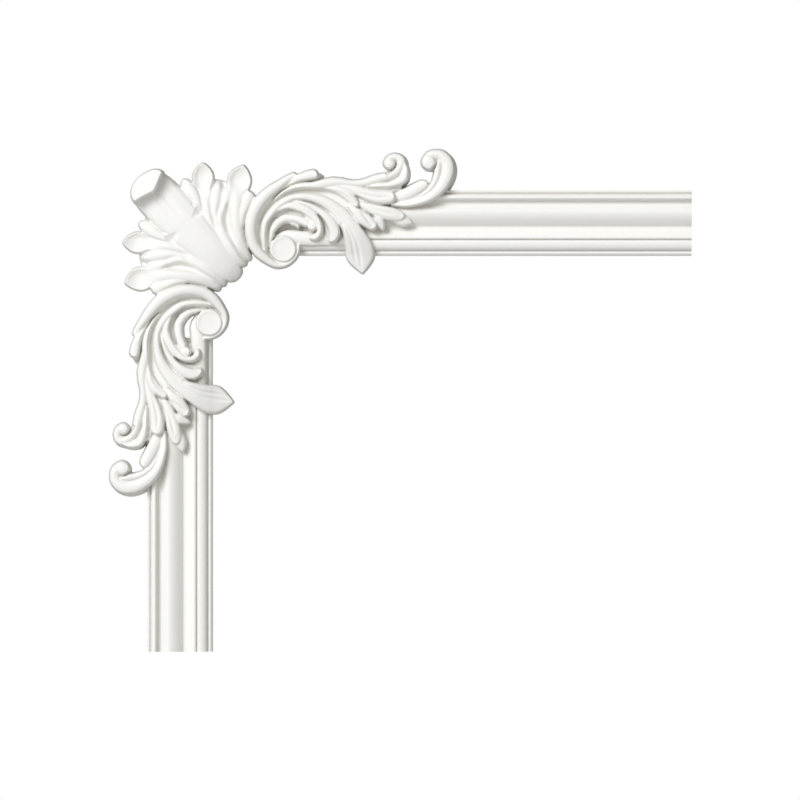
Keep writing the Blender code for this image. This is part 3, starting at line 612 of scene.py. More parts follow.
# %% [markdown]
# ## From many shapes to one skin
#
# A casting from a one-piece mould has no undercuts: seen from the front, each place has one height. So the
# shapes needn't be joined one by one. A ray is sent in from the front at every point of a fine grid, and
# the highest shape that it meets gives the height there. This replaces nearly eighty Boolean joins, and it
# can't fail the way a chain of Booleans can.

# %% Reading the heights from the front
GRID = 0.5                                           # from one grid point to the next
LEFT, RIGHT, LOW, HIGH = -80.0, 290.0, -286.0, 82.0  # the grid's edges, just outside the ornament
IN_FRONT = 90.0                                      # where the rays start, higher than any shape


def heights_from_front(shapes):
    """The height of the highest shape at each grid point, which is what a one-piece casting keeps."""
    points, faces, first = [], [], 0
    for shape_points, shape_faces in shapes:
        points += [Vector(p) for p in shape_points]
        faces += [[int(i) + first for i in face] for face in shape_faces]
        first += len(shape_points)
    tree = BVHTree.FromPolygons(points, faces)
    xs, zs = np.arange(LEFT, RIGHT, GRID), np.arange(LOW, HIGH, GRID)
    heights = np.full((len(zs), len(xs)), BELOW_BACK)
    into = Vector((0, 0, -1))
    for i, z in enumerate(zs):
        for j, x in enumerate(xs):
            hit = tree.ray_cast(Vector((x, z, IN_FRONT)), into)[0]
            if hit is not None:
                heights[i, j] = hit.z
    return xs, zs, heights


xs, zs, heights = heights_from_front(all_shapes)
print("highest point", round(float(heights.max()), 1), "mm;", int((heights > 0).sum()), "points in front")

# %% [markdown]
# ## Carving
#
# The creases between the leaves and the dark crescents inside the curls are cut into the heights like
# strokes of a gouge. A stroke is a smooth line with a width and a depth that change along it, and it is cut
# on both halves. Wide shallow strokes give the soft dents in the side leaves, and two of them leave the
# faint ridge of the trumpet between them. Cutting is quick, because it is plain arithmetic on the grid.

# %% Gouge strokes
LEAST_STROKE = 0.3           # half the width of the finest stroke
CREASES = [                  # each stroke has rows of x, z, half width and depth
    # the trumpet's edge, where the first leaf sets off from it
    [(-6, 40, 1.5, 1.5), (-3, 37, 1.5, 1.2), (2, 33.5, 1, .3), (8, 28, 1.3, 1), (11.8, 22.5, 1.4, 2),
     (13.8, 17.5, .8, 1.8)],
    # between the first and second leaves
    [(12.5, 38, 1, .8), (17.5, 33.5, 1.6, 1.2), (20.5, 27, 1.8, 1.3), (22.5, 18, 1.8, 1.2), (25.5, 8, 1.8, 1),
     (29.8, -1, 1.6, .9), (36, -10, 1.2, .8), (43, -18, 1, .6)],
    # between the second and third leaves, then the two eyelets beside the sprig
    [(33, 40, 1, .8), (31.5, 33, 1, .7), (30.6, 26, 1, .6), (30.6, 14, 1, .4), (32, 4, 1, .3)],
    [(40.3, 19.5, .8, .5), (38.4, 15, 1.8, 1.8), (37.8, 9, 2, 2), (38.6, 3, 1, .8)],
    [(42, 40, .8, .8), (42.3, 32, 1, .9), (41.8, 24, 1, .9), (41, 20, .6, .5)],
    # the dark groove left of the fourth leaf
    [(52.6, 28.5, 1, .8), (51, 22, 1.6, 1.6), (48, 16.5, 2.2, 2.6), (46, 9, 2.8, 3.4), (45.8, 1, 3, 3.4),
     (47.8, -7, 3, 2.8), (52.5, -17, 2.6, 2.2), (58, -28, 2, 1.8), (63.5, -36.5, 1.8, 1.8),
     (68, -41, 1.6, 1.6)],
    # between the fifth leaf and the rim of the scroll
    [(77, 27.5, 1, .6), (72.3, 20, 2.2, 1.2), (67.5, 10, 2.6, 1.6), (64.7, 0, 2.6, 1.7), (64.2, -8, 2.6, 1.6),
     (66, -17, 2.2, 1.3), (69.5, -26, 1.6, 1)],
    # the wedge below the fourth leaf's tip, and the fine flutes on the fifth
    [(70.4, 35.5, 1, 1.5), (67, 32.2, 1.3, 2), (63.8, 29, .8, .8)],
    [(63.3, 27.5, .7, .5), (58.5, 22.5, .8, .4)],
    [(66.5, 27, .7, .5), (61, 20, .8, .4)],
    # between the scroll's first finger and its lobe, and under the lobe
    [(118.5, 47, .8, 1), (112.5, 42.6, 1.1, 1.6), (105, 37.2, 1.1, 1.6), (97, 30.4, 1, 1)],
    [(134, 40.6, 1, .2), (121, 39.2, 1.2, .4), (109, 34.6, 1.2, .6), (99, 27.8, 1.2, .6), (91, 19, 1.2, .4)],
    # between the drooping leaf's strand and the hook, and between the two strands inside
    [(113, 23.2, 1, .8), (122, 22.6, 1.3, 1.6), (131, 20.6, 1.5, 2), (139, 17, 1.5, 2), (146, 12.5, 1.3, 1.5),
     (151.5, 7.5, 1, .8)],
    [(118, 11.4, 1.2, 1), (124, 8.6, 1.2, 1.5), (129, 5.2, 1, 1), (132, 2.5, .7, .4)],
    # beside the faint ridge along the middle of the trumpet, which is what two such strokes leave
    [(-17.5, 27, 1.5, .2), (-13, 22, 3.2, .7), (-6, 15, 3.4, .6), (2, 7, 2, .2)],
    # soft dents along the side leaves
    [(181, 10.5, 1.5, .4), (185, 6.5, 2.6, 1.1), (189, 1.5, 2.6, 1.1), (192.5, -3, 1.6, .4)],
    [(192, 15.5, 1.5, .4), (199, 12.6, 2.4, 1.0), (207, 10.2, 2.6, .9), (214, 8.5, 1.6, .4)],
    [(156, 31.5, 1.2, .4), (162, 29, 2.2, .9), (168, 24.5, 2.2, .9), (173, 19.5, 1.4, .4)],
    [(178, 30.5, 1.2, .3), (188, 27.6, 2.4, .8), (198, 25.6, 2.6, .8), (207, 25.5, 1.5, .4)],
    # under the first leaf, beside the trumpet
    [(9, 27.5, .6, .3), (11.8, 23, 1, 1.3), (13.9, 18.2, .9, 1.5)],
    # round the ball inside the inner curl
    [(137.4, 2.5, .8, .2), (137.6, -3, 1, .5), (136.2, -8, 1.2, .7), (132.6, -10, 1, .4),
     (128.6, -9.4, .7, .2)],
    # the wedge between the inner curl and the hook's flank
    [(138.5, 8.3, .8, .8), (141.6, 4.5, 1.2, 2), (143.3, -1, 1.5, 3), (143.5, -7, 1.5, 3),
     (142, -13, 1.3, 2.4), (138.5, -17, 1, 1.2)],
    # right of the hook's end
    [(161.5, 0, 1, 1), (162.6, -7, 1.5, 2.5), (161.2, -13, 1.7, 3), (157.3, -17.6, 1.7, 2.6),
     (152.5, -20, 1, 1.2)],
    # the broad groove between the upper strand and the drooping leaf
    [(80, -12, 1.5, .4), (81.5, 3, 2, .6), (87, 14, 2.4, .8), (98, 24, 3, 1), (107.5, 29.3, 3.4, 1),
     (119, 31.8, 3.5, 1.1), (130, 32.2, 3.5, 1.1), (146, 29.6, 3.4, 1), (155, 26, 3.2, .9),
     (166, 19, 2, .5)],
    # the crescents inside the upper and the outer curl
    [(211.5, 63.3, .5, .2), (215, 62, 1.2, 1), (216, 58.5, 1.5, 2.5), (214, 54.5, 1.8, 4.5),
     (210.5, 51.5, 2, 5.5), (207.5, 49.3, 1.5, 5), (205.5, 49.8, .5, 2)],
    [(248, 66.6, .5, .2), (252, 66, 1, .6), (255.3, 63.3, 1.3, 1.8), (256.2, 60, 1.5, 3.2),
     (254.5, 56, 1.8, 5.5), (252, 53.5, 1.5, 6)],
]


def window_round(places, reach):
    """The rows and columns of the grid that lie within reach of some places."""
    low, high = np.min(places, axis=0) - reach, np.max(places, axis=0) + reach
    j0, j1 = int((low[0] - LEFT) / GRID), int((high[0] - LEFT) / GRID) + 2
    i0, i1 = int((low[1] - LOW) / GRID), int((high[1] - LOW) / GRID) + 2
    return slice(max(i0, 0), i1), slice(max(j0, 0), j1)


def carved(heights, strokes, place):
    """The heights with each stroke cut into them, deepest along its middle."""
    heights = heights.copy()
    for stroke in strokes:
        cut = np.zeros_like(heights)
        for x, z, reach, depth in smooth_line(stroke, 10)[0]:
            x, z = place(x, z)
            reach = max(reach, LEAST_STROKE)
            rows, columns = window_round([(x, z)], reach)
            away = (xs[columns][None] - x) ** 2 + (zs[rows][:, None] - z) ** 2
            share = np.maximum(0, 1 - away / reach ** 2) ** 2
            cut[rows, columns] = np.maximum(cut[rows, columns], depth * share)
        heights -= cut
    return heights


uncut = heights
for half_place in (as_drawn, to_side):
    heights = carved(heights, CREASES, half_place)
print("the deepest stroke takes", round(float((uncut - heights).max()), 1), "mm away")

# %% [markdown]
# ## A facet and a fillet
#
# Two details aren't strokes. Beside the trumpet's edge each half has a sunken three-sided facet, whose
# depth is given at its three corners. And the lip doesn't stand on the trumpet like a plate on a table:
# the trumpet rises towards it in a hollow curve, which gives the shadow there its soft outer edge.

# %% The facet beside the trumpet and the fillet under the lip
FACET = [(9.5, 1, 0.3), (17.8, 20, 0.3), (27, 8.5, 6.4)]     # x, z and depth at each corner
FACET_EASE = (0.08, 0.4, 0.04)       # the share of the way in over which the side facing each corner slopes
LIP_EDGE = [(-46, 20), (-38, 25), (-27, 30), (-25, 33), (-21, 42), (-16.5, 52)]
FILLET_REACH, FILLET_RISE = 28, 9.0  # how far the fillet runs out from the lip and how high it climbs
STEEP, GENTLE = 3.5, 12              # the two falls, in millimetres, that its hollow curve is the mean of
FILLET_END = 0.05                    # taken off that mean, so that the curve ends within its reach
TRUMPET_HALF = 23                    # just over half the width of the trumpet
TRUMPET_FROM, TRUMPET_FULL = 17, 22  # the heights between which the fillet fades in
LIP_FROM = 32                        # places higher than this are the lip and its wall


def faceted(heights, corners, place):
    """The heights with a three-sided facet sunk to the depth given at each corner."""
    heights = heights.copy()
    spots = np.array([place(x, z) for x, z, depth in corners])
    rows, columns = window_round(spots, 1)
    x, z = np.meshgrid(xs[columns], zs[rows])
    (x0, z0), (x1, z1), (x2, z2) = spots
    whole = (x1 - x0) * (z2 - z0) - (x2 - x0) * (z1 - z0)
    # how near each place lies to the second and to the third corner, and what is left for the first
    b = ((x - x0) * (z2 - z0) - (x2 - x0) * (z - z0)) / whole
    c = ((x1 - x0) * (z - z0) - (x - x0) * (z1 - z0)) / whole
    a = 1 - b - c
    depth = corners[0][2] * a + corners[1][2] * b + corners[2][2] * c
    for share, ease in ((b, FACET_EASE[1]), (c, FACET_EASE[2]), (a, FACET_EASE[0])):
        share = np.clip(share / ease, 0, 1)
        depth = depth * share ** 2 * (3 - 2 * share)
    heights[rows, columns] -= depth
    return heights


def filleted(heights, edge):
    """The heights raised in a long hollow curve beside an edge, wherever the trumpet shows there."""
    line = smooth_line(edge, 12)[0]
    rows, columns = window_round(line, FILLET_REACH)
    x, z = np.meshgrid(xs[columns], zs[rows])
    away = np.min([np.hypot(x - px, z - pz) for px, pz in line], axis=0)
    part = heights[rows, columns]
    curve = 0.5 * np.exp(-away / STEEP) + 0.5 * np.exp(-away / GENTLE) - FILLET_END
    fillet = FILLET_RISE * np.maximum(0, curve)
    side = np.abs(x + z - MIRROR_LINE) / math.sqrt(2)
    shown = np.clip((part - TRUMPET_FROM) / (TRUMPET_FULL - TRUMPET_FROM), 0, 1)
    fillet = fillet * shown * (side < TRUMPET_HALF)
    heights = heights.copy()
    heights[rows, columns] = np.where(part < LIP_FROM, part + fillet, part)
    return heights


for half_place in (as_drawn, to_side):
    heights = faceted(heights, FACET, half_place)
heights = filleted(heights, LIP_EDGE)
print("facets and fillet made; highest point", round(float(heights.max()), 1), "mm")

# %% [markdown]
# ## Stronger relief
#
# Where two forms meet, a carver runs a gouge along the joint, and rounds the backs of the forms themselves.
# So the real relief has more contrast than a pile of overlapping forms. The same is done here to the whole
# ornament at once: every place is moved away from the mean height of its surroundings, gently near the
# corner and in full from the scroll outwards. The mean comes from a Gaussian blur, done first along one
# axis and then along the other, which gives the same result as a round brush and is much faster. It looks
# only at places on the ornament, or the outer edges would rise like a rim.

# %% Relief pushed away from its own blur
ON_ORNAMENT = 4.0            # places higher than this belong to the ornament, lower ones to its walls
HIGHEST = 41.3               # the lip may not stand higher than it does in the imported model
RAISED_LESS = 0.6            # a place may rise by this share of what it may sink
PASSES = [(0.32, 3.2, 2.0), (0.4, 1.4, 1.0)]     # amount, reach of the blur and most that a place sinks
BLUR_ENDS = 2.5              # the blur's brush is cut off at this many times its amount


def softened(heights, amount):
    """The heights blurred by this many millimetres."""
    reach = max(1, math.ceil(BLUR_ENDS * amount / GRID))
    offsets = np.arange(-reach, reach + 1) * GRID
    weights = np.exp(-0.5 * (offsets / amount) ** 2)
    weights /= weights.sum()
    for axis in (0, 1):
        width = [(reach, reach) if axis == a else (0, 0) for a in (0, 1)]
        padded = np.pad(heights, width, mode="edge")
        span = heights.shape[axis]
        heights = sum(w * np.take(padded, np.arange(k, k + span), axis=axis) for k, w in enumerate(weights))
    return heights


def mean_round(heights, inside, reach):
    """The mean height round each place, taken over the inside places alone."""
    return softened(heights * inside, reach) / np.maximum(softened(inside, reach), 1e-3)


def strengthened(heights, strength, amount, reach, most):
    """The heights moved away from their blurred surroundings on the ornament."""
    on_ornament = heights > ON_ORNAMENT
    mean = mean_round(heights, on_ornament.astype(float), reach)
    change = strength * np.clip(amount * (heights - mean), -most, most * RAISED_LESS)
    return np.where(on_ornament, heights + change, heights)


grid_x, grid_z = np.meshgrid(xs, zs)
from_corner = np.where(grid_x + grid_z > MIRROR_LINE, grid_x, SIDE_SHIFT[1] - grid_z)
strength = np.interp(from_corner, (20, 60, 84), (0.25, 0.4, 1.0))
flatter = heights
for relief_pass in PASSES:
    heights = strengthened(heights, strength, *relief_pass)
heights = np.minimum(heights, HIGHEST)
print("relief changed by", round(float((heights - flatter).min()), 1), "to",
      round(float((heights - flatter).max()), 1), "mm")

# %% [markdown]
# ## Rounded edges
#
# No cast edge is sharp: the mould's edge is worn and the primer builds up on it. Rolling a ball along the
# inside of the surface rounds every outer edge to the ball's radius and leaves the creases as they are. In
# image work this is called an opening. It takes the lowest, then the highest value under a ball-shaped
# brush, and both steps are some twenty shifts of the whole grid.

# %% Outer edges rounded with a ball
ROUNDING = 1.3


def shifted(values, up, over):
    """The grid moved by whole steps, its edge values repeated."""
    rows = np.clip(np.arange(values.shape[0]) + up, 0, values.shape[0] - 1)
    columns = np.clip(np.arange(values.shape[1]) + over, 0, values.shape[1] - 1)
    return values[rows][:, columns]


def edges_rounded(heights, radius):
    """The heights with each outer edge rounded to a radius."""
    reach = int(radius / GRID)
    brush = [(up, over, math.sqrt(radius ** 2 - GRID ** 2 * (up ** 2 + over ** 2)))
             for up in range(-reach, reach + 1) for over in range(-reach, reach + 1)
             if GRID ** 2 * (up ** 2 + over ** 2) < radius ** 2]
    low = np.min([shifted(heights, up, over) - ball for up, over, ball in brush], axis=0)
    return np.max([shifted(low, -up, -over) + ball for up, over, ball in brush], axis=0)


sharp = heights
heights = edges_rounded(heights, ROUNDING)
print("edges rounded to", ROUNDING, "mm, which takes at most",
      round(float((sharp - heights)[heights > 15].max()), 1), "mm off the upper forms")

# %% [markdown]
# ## Softening
#
# Moulds and primer leave no knife edges, so the heights are blurred a little. The leaves of the fan are
# the smoothest part of the casting, so they are first blurred more, and that extra blur fades out towards
# the trumpet and towards the scroll. It looks only at places on the ornament, as the one before did.

# %% Softened creases
SOFTENING = 0.6
FAN_SOFTENING = 1.1


def blended(heights, amount, blend):
    """The ornament's heights mixed with heights blurred by this many millimetres."""
    inside = (heights > ON_ORNAMENT).astype(float)
    mean = mean_round(heights, inside, amount)
    return heights + (mean - heights) * blend * inside


heights = blended(heights, FAN_SOFTENING, np.interp(from_corner, (23, 34, 52, 66), (0, 1, 1, 0)))
heights = softened(heights, SOFTENING)
print("softened by", SOFTENING, "mm, and the fan by", FAN_SOFTENING, "mm")

# %% [markdown]
# ## The skin as a mesh
#
# Each grid point becomes a vertex and each square of four a face. Only the squares that belong to the
# ornament are kept. A regular grid spends as many faces on a flat place as on a curl, so the Decimate
# modifier then thins it where it is nearly flat.


# %% A mesh from the heights
RELIEF_TRIANGLES = 172000


def relief_mesh(name):
    """The ornament's front as an open surface that runs on past the back plane."""
    kept = heights > BELOW_BACK + 1.0
    cells = kept[:-1, :-1] | kept[1:, :-1] | kept[:-1, 1:] | kept[1:, 1:]
    used = np.zeros_like(kept)
    for rows in (slice(None, -1), slice(1, None)):
        for columns in (slice(None, -1), slice(1, None)):
            used[rows, columns] |= cells
    number = np.cumsum(used).reshape(used.shape) - 1
    row, column = np.nonzero(used)
    points = np.stack([xs[column], -heights[row, column], zs[row]], axis=1) * MM
    row, column = np.nonzero(cells)
    corners = [(0, 0), (0, 1), (1, 1), (1, 0)]
    faces = np.stack([number[row + up, column + over] for up, over in corners], axis=1)
    mesh = bpy.data.meshes.new(name)
    mesh.from_pydata(points.tolist(), [], faces.tolist())
    return mesh


def thinned(mesh, triangles):
    """The same surface with about this many triangles, most of them where it bends."""
    helper = bpy.data.objects.new("thinning", mesh)
    bpy.context.scene.collection.objects.link(helper)
    thin = helper.modifiers.new("thin", "DECIMATE")
    thin.ratio = min(1.0, triangles / (2 * len(mesh.polygons)))
    thin.use_collapse_triangulate = True
    evaluated = helper.evaluated_get(bpy.context.evaluated_depsgraph_get())
    result = bmesh.new()
    result.from_mesh(evaluated.to_mesh())
    bpy.data.objects.remove(helper, do_unlink=True)
    return result


grid_mesh = relief_mesh("relief")
surface = thinned(grid_mesh, RELIEF_TRIANGLES)
print(2 * len(grid_mesh.polygons), "triangles thinned to", len(surface.faces))

# %% [markdown]
# ## The flat back
#
# The casting lies flat on the wall. The skin runs on a little below that plane, so cutting it there gives a
# clean edge all round. The edge is then filled with one flat face, which makes the mesh a closed solid.


# %% Cutting and closing the back
def closed_at_back(surface):
    """Cuts the surface at the back plane, keeps its main body and closes the flat back."""
    everything = surface.verts[:] + surface.edges[:] + surface.faces[:]
    bmesh.ops.bisect_plane(surface, geom=everything, dist=1e-7, plane_co=(0, 0, 0), plane_no=(0, 1, 0),
                           clear_outer=True)
    left = set(surface.faces)
    bodies = []
    while left:
        body, front = set(), {left.pop()}
        while front:
            face = front.pop()
            body.add(face)
            near = {other for edge in face.edges for other in edge.link_faces} & left
            left -= near
            front |= near
        bodies.append(body)
    main = max(bodies, key=len)
    bmesh.ops.delete(surface, geom=[f for f in surface.faces if f not in main], context="FACES")
    bmesh.ops.delete(surface, geom=[v for v in surface.verts if not v.link_faces], context="VERTS")
    border = [edge for edge in surface.edges if edge.is_boundary]
    bmesh.ops.triangle_fill(surface, edges=border, use_beauty=True, normal=(0, 1, 0))
    bmesh.ops.recalc_face_normals(surface, faces=surface.faces[:])


def as_object(name, shape):
    """A bmesh turned into an object of the scene."""
    mesh = bpy.data.meshes.new(name)
    shape.to_mesh(mesh)
    shape.free()
    made = bpy.data.objects.new(name, mesh)
    bpy.context.scene.collection.objects.link(made)
    return made


closed_at_back(surface)
ornament = as_object("ornament", surface)
print("ornament has", len(ornament.data.polygons), "faces")

# %% [markdown]
# ## The moulding
#
# A moulding is drawn as its section, the way a joiner would draw it, member by member from the outer edge
# to the inner one. Arcs, S-curves and short steps give it. Every height is taken from the top of the bead,
# so the whole section follows when the bead is made higher or lower.

# %% The section of the moulding
MOULDING_OUTER = 32.9        # from a run's centre line to its outer edge
MOULDING_INNER = 32.8        # from a run's centre line to its inner edge
TOP_RUN_END = 512.0
SIDE_RUN_END = -429.0
RUN_START = 86.0             # where each run begins, under its scroll
BEAD = 16.4                  # height of the bead, the highest line of the moulding


def arc(centre, radius, start, end, steps):
    """Points round an arc, its angles in degrees, in the section's own plane."""
    angles = np.radians(np.linspace(start, end, steps))
    return [(centre[0] + radius * math.cos(a), centre[1] + radius * math.sin(a)) for a in angles]


def wave(start, end, steps):
    """An S-shaped stretch that leaves and arrives level."""
    share = np.linspace(0, 1, steps + 1)[1:]
    ease = share ** 2 * (3 - 2 * share)
    return [(start[0] + (end[0] - start[0]) * t, start[1] + (end[1] - start[1]) * e)
            for t, e in zip(share, ease)]


def moulding_section():
    """The moulding's section: distance from its outer edge, then height over the back."""
    width = MOULDING_OUTER + MOULDING_INNER
    # the outer fillet and the quirk beside it
    points = [(0.0, 0.0), (0.0, BEAD - 4.0), (0.35, BEAD - 3.55), (1.5, BEAD - 3.4), (2.1, BEAD - 3.8),
              (3.7, BEAD - 6.1), (4.1, BEAD - 6.0)]
    # the bead, wider on its outer side
    points += [(7.3 + (3.1 if a > math.pi / 2 else 2.2) * math.cos(a), BEAD - 3.2 + 3.2 * math.sin(a) ** 0.8)
               for a in np.radians(np.linspace(176, 4, 18))]
    # its inner quirk, then a wave up and a long slope down
    points += [(10.0, BEAD - 4.9), (11.1, BEAD - 6.7), (12.6, BEAD - 7.2)]
    points += wave((13.6, BEAD - 7.2), (21.5, BEAD - 2.8), 16)
    points += [(21.5 + d, BEAD - 2.8 - 0.0425 * d ** 2) for d in np.linspace(1.0, 14.2, 18)]
    # a lower wave that ends in a step
    points += [(36.3, BEAD - 11.7), (36.9, BEAD - 11.8)]
    points += wave((37.4, BEAD - 11.7), (47.4, BEAD - 7.7), 14)
    points += [(48.3, BEAD - 8.1), (48.8, BEAD - 10.8), (49.6, BEAD - 10.9)]
    # a flat roll, then a small bead and the inner edge
    points += [(53.0 + 7.3 * math.cos(a), BEAD - 14.0 + 6.0 * math.sin(a))
               for a in np.radians(np.linspace(112, 6, 20))]
    points += arc((62.4, BEAD - 15.0), 1.75, 165, 45, 8)
    points += [(64.3, BEAD - 14.2), (width - 0.1, BEAD - 16.3), (width, 0.0)]
    return points


print("the section has", len(moulding_section()), "corners, and its bead is",
      round(max(h for _, h in moulding_section()), 1), "mm high")


# %% [markdown]
# ## Two lengths of moulding
#
# Each run is the section extruded from under its scroll to a square-cut end. Where the run lies beside the
# ornament it gets a ring of points every few millimetres, because a Boolean through long thin faces leaves
# slivers that spoil the shading. The rest of the run is one stretch.

# %% The two runs
RING_STEP = 4
LAST_RING = 300              # beyond the ornament's end


def run(name, along_top):
    """One run as a plain extrusion of the section, with more rings beside the ornament."""
    shape = bmesh.new()
    sign, far = (1, TOP_RUN_END) if along_top else (-1, SIDE_RUN_END)
    rings = []
    for place in [sign * step for step in range(int(RUN_START), LAST_RING, RING_STEP)] + [far]:
        ring = []
        for across, height in moulding_section():
            offset = MOULDING_OUTER - across
            x, z = (place, offset) if along_top else (-offset, place)
            ring.append(shape.verts.new((x * MM, -height * MM, z * MM)))
        rings.append(ring)
    shape.faces.new(rings[0])
    shape.faces.new(rings[-1])
    for near, next_ring in zip(rings, rings[1:]):
        for k in range(len(near)):
            shape.faces.new((near[k - 1], near[k], next_ring[k], next_ring[k - 1]))
    bmesh.ops.recalc_face_normals(shape, faces=shape.faces[:])
    return as_object(name, shape)


top_run, side_run = run("top_run", True), run("side_run", False)
print("top run is", round(top_run.dimensions.x / MM), "mm long and side run",
      round(side_run.dimensions.z / MM), "mm")

# %% [markdown]
# ## The recess behind the eye
#
# The picture shows a deep crescent behind the flat eye of each scroll. On the top run it ends in the dark,
# so the run is cut down to a thin floor there. The side run gets the same blind cut, and a shorter one
# right through it, where the picture shows the white ground behind the casting. Each run is cut with a
# Boolean before it joins the ornament, so the strands that cross the crescent stay whole.

# %% Cutting the recesses and joining everything
CRESCENT = [(107.0, -6.6), (99.5, -9.6), (92.5, -13.5), (94.5, -6.0), (100.0, 0.5), (108.0, 3.5)]
BLIND_END = [(117.0, 3.0), (124.0, -1.0), (123.5, -8.0), (116.0, -7.2)]
OPEN_END = [(113.0, 3.0), (117.8, -2.5), (118.2, -6.5), (116.0, -7.2)]
BLIND_FLOOR = 2.0            # what the blind cut leaves of the run
SHARP_FROM = 45              # degrees: an edge that turns more than this is shaded sharp


def recess(name, outline, floor, place):
    """The crescent behind the eye, down to a floor, as a cutter for the run."""
    shape = bmesh.new()
    for height in (floor, 2 * BEAD):
        spots = [place(x, z) for x, z in outline]
        shape.faces.new([shape.verts.new((x * MM, -height * MM, z * MM)) for x, z in spots])
    bmesh.ops.bridge_loops(shape, edges=shape.edges[:])
    bmesh.ops.recalc_face_normals(shape, faces=shape.faces[:])
    return as_object(name, shape)


def boolean(target, helper, operation):
    """Applies a Boolean to target and takes the helper away."""
    modifier = target.modifiers.new(helper.name, "BOOLEAN")
    modifier.operation = operation
    modifier.solver = "MANIFOLD"
    modifier.object = helper
    evaluated = target.evaluated_get(bpy.context.evaluated_depsgraph_get())
    result = bpy.data.meshes.new_from_object(evaluated)
    target.modifiers.clear()
    target.data = result
    bpy.data.objects.remove(helper, do_unlink=True)


corner = ornament
boolean(top_run, recess("blind", CRESCENT + BLIND_END, BLIND_FLOOR, as_drawn), "DIFFERENCE")
boolean(side_run, recess("blind", CRESCENT + BLIND_END, BLIND_FLOOR, to_side), "DIFFERENCE")
boolean(side_run, recess("open", CRESCENT + OPEN_END, BELOW_BACK, to_side), "DIFFERENCE")
for length in (top_run, side_run):
    boolean(corner, length, "UNION")
for vertex in corner.data.vertices:     # rounding may leave one a hair behind the wall's plane
    vertex.co.y = min(vertex.co.y, 0.0)
corner.name = corner.data.name = "corner_casting"
corner.data.shade_smooth()
corner.data.set_sharp_from_angle(angle=math.radians(SHARP_FROM))
corner.data.calc_loop_triangles()
print("the casting has", len(corner.data.loop_triangles), "triangles")

# %% [markdown]
# ## Hollows and high places
#
# The finish paints shade into the hollows, and makes the primer rougher there and a little smoother on
# edges. To let it know which is which, each vertex gets one number, 1 deep in a hollow, 0 on open ground and
# -1 on an edge. It comes from the heights of ornament and moulding together: their wide blur minus
# themselves. On the fan it is kept small, so that little shade is painted there. On the moulding it stays
# the same all along a run, so a place past the grid's edge takes the number that stands beside the edge.

# %% A number for each vertex
HOLLOW_REACH = 2.6           # how wide the surroundings are
HOLLOW_DEPTH = 3.0           # this much below the surroundings counts as 1
GRID_MARGIN = 8              # the blur is spoilt this close to the grid's edge
AT_BACK = 0.05               # places this close to the back plane get no number
BARE, FILLED = 0.7, 0.95     # with less of the casting round it a place counts nothing, with more in full


def hollows(heights, reach, scale):
    """How far each place lies below its surroundings, left out beside the outer edges."""
    inside = (heights > 1).astype(float)
    share = softened(inside, reach)
    mean = mean_round(heights, inside, reach)
    return (mean - heights) / scale * np.clip((share - BARE) / (FILLED - BARE), 0, 1) * inside


def at_places(values, x, z):
    """Values of the grid at any places, mixed from the four grid points around each."""
    across = np.clip((x - LEFT) / GRID, 0, len(xs) - 1.001)
    up = np.clip((z - LOW) / GRID, 0, len(zs) - 1.001)
    j, i = across.astype(int), up.astype(int)
    u, v = across - j, up - i
    return (values[i, j] * (1 - u) * (1 - v) + values[i, j + 1] * u * (1 - v)
            + values[i + 1, j] * (1 - u) * v + values[i + 1, j + 1] * u * v)


def run_heights(offset):
    """The moulding's height at a distance from its outer edge, and nothing beyond its edges."""
    across, height = np.array(moulding_section()).T
    return np.interp(offset, across, height, left=0, right=0)


ground = np.maximum(np.where(grid_x > RUN_START, run_heights(MOULDING_OUTER - grid_z), 0),
                    np.where(grid_z < -RUN_START, run_heights(MOULDING_OUTER + grid_x), 0))
together = np.maximum(heights, ground)
number = hollows(together, HOLLOW_REACH, HOLLOW_DEPTH)
number = number * np.interp(from_corner, (0, 14, 60, 84), (1, 0.25, 0.35, 1))
places = np.zeros(len(corner.data.vertices) * 3, np.float32)
corner.data.vertices.foreach_get("co", places)
x, y, z = (places.reshape(-1, 3) / MM).T
hollow = at_places(number, np.minimum(x, RIGHT - GRID_MARGIN), np.maximum(z, LOW + GRID_MARGIN))
hollow = np.clip(hollow, -1, 1)
hollow[y > -AT_BACK] = 0
corner.data.attributes.new("hollow", "FLOAT", "POINT").data.foreach_set("value", hollow.astype(np.float32))
print("hollow runs from", round(float(hollow.min()), 2), "to", round(float(hollow.max()), 2))

# %% [markdown]
# ## Sockets as Python values
#
# A material is a graph of nodes. Wiring it by hand takes a line for each node and hides the sum that it
# stands for. The small class below wraps one socket. Adding or multiplying two of them adds the Math node
# for it, so the finish reads as formulas. Any other node comes from its method called node, and the two
# that are used more than once, a clamp and a mix of two colours, have a short name of their own.


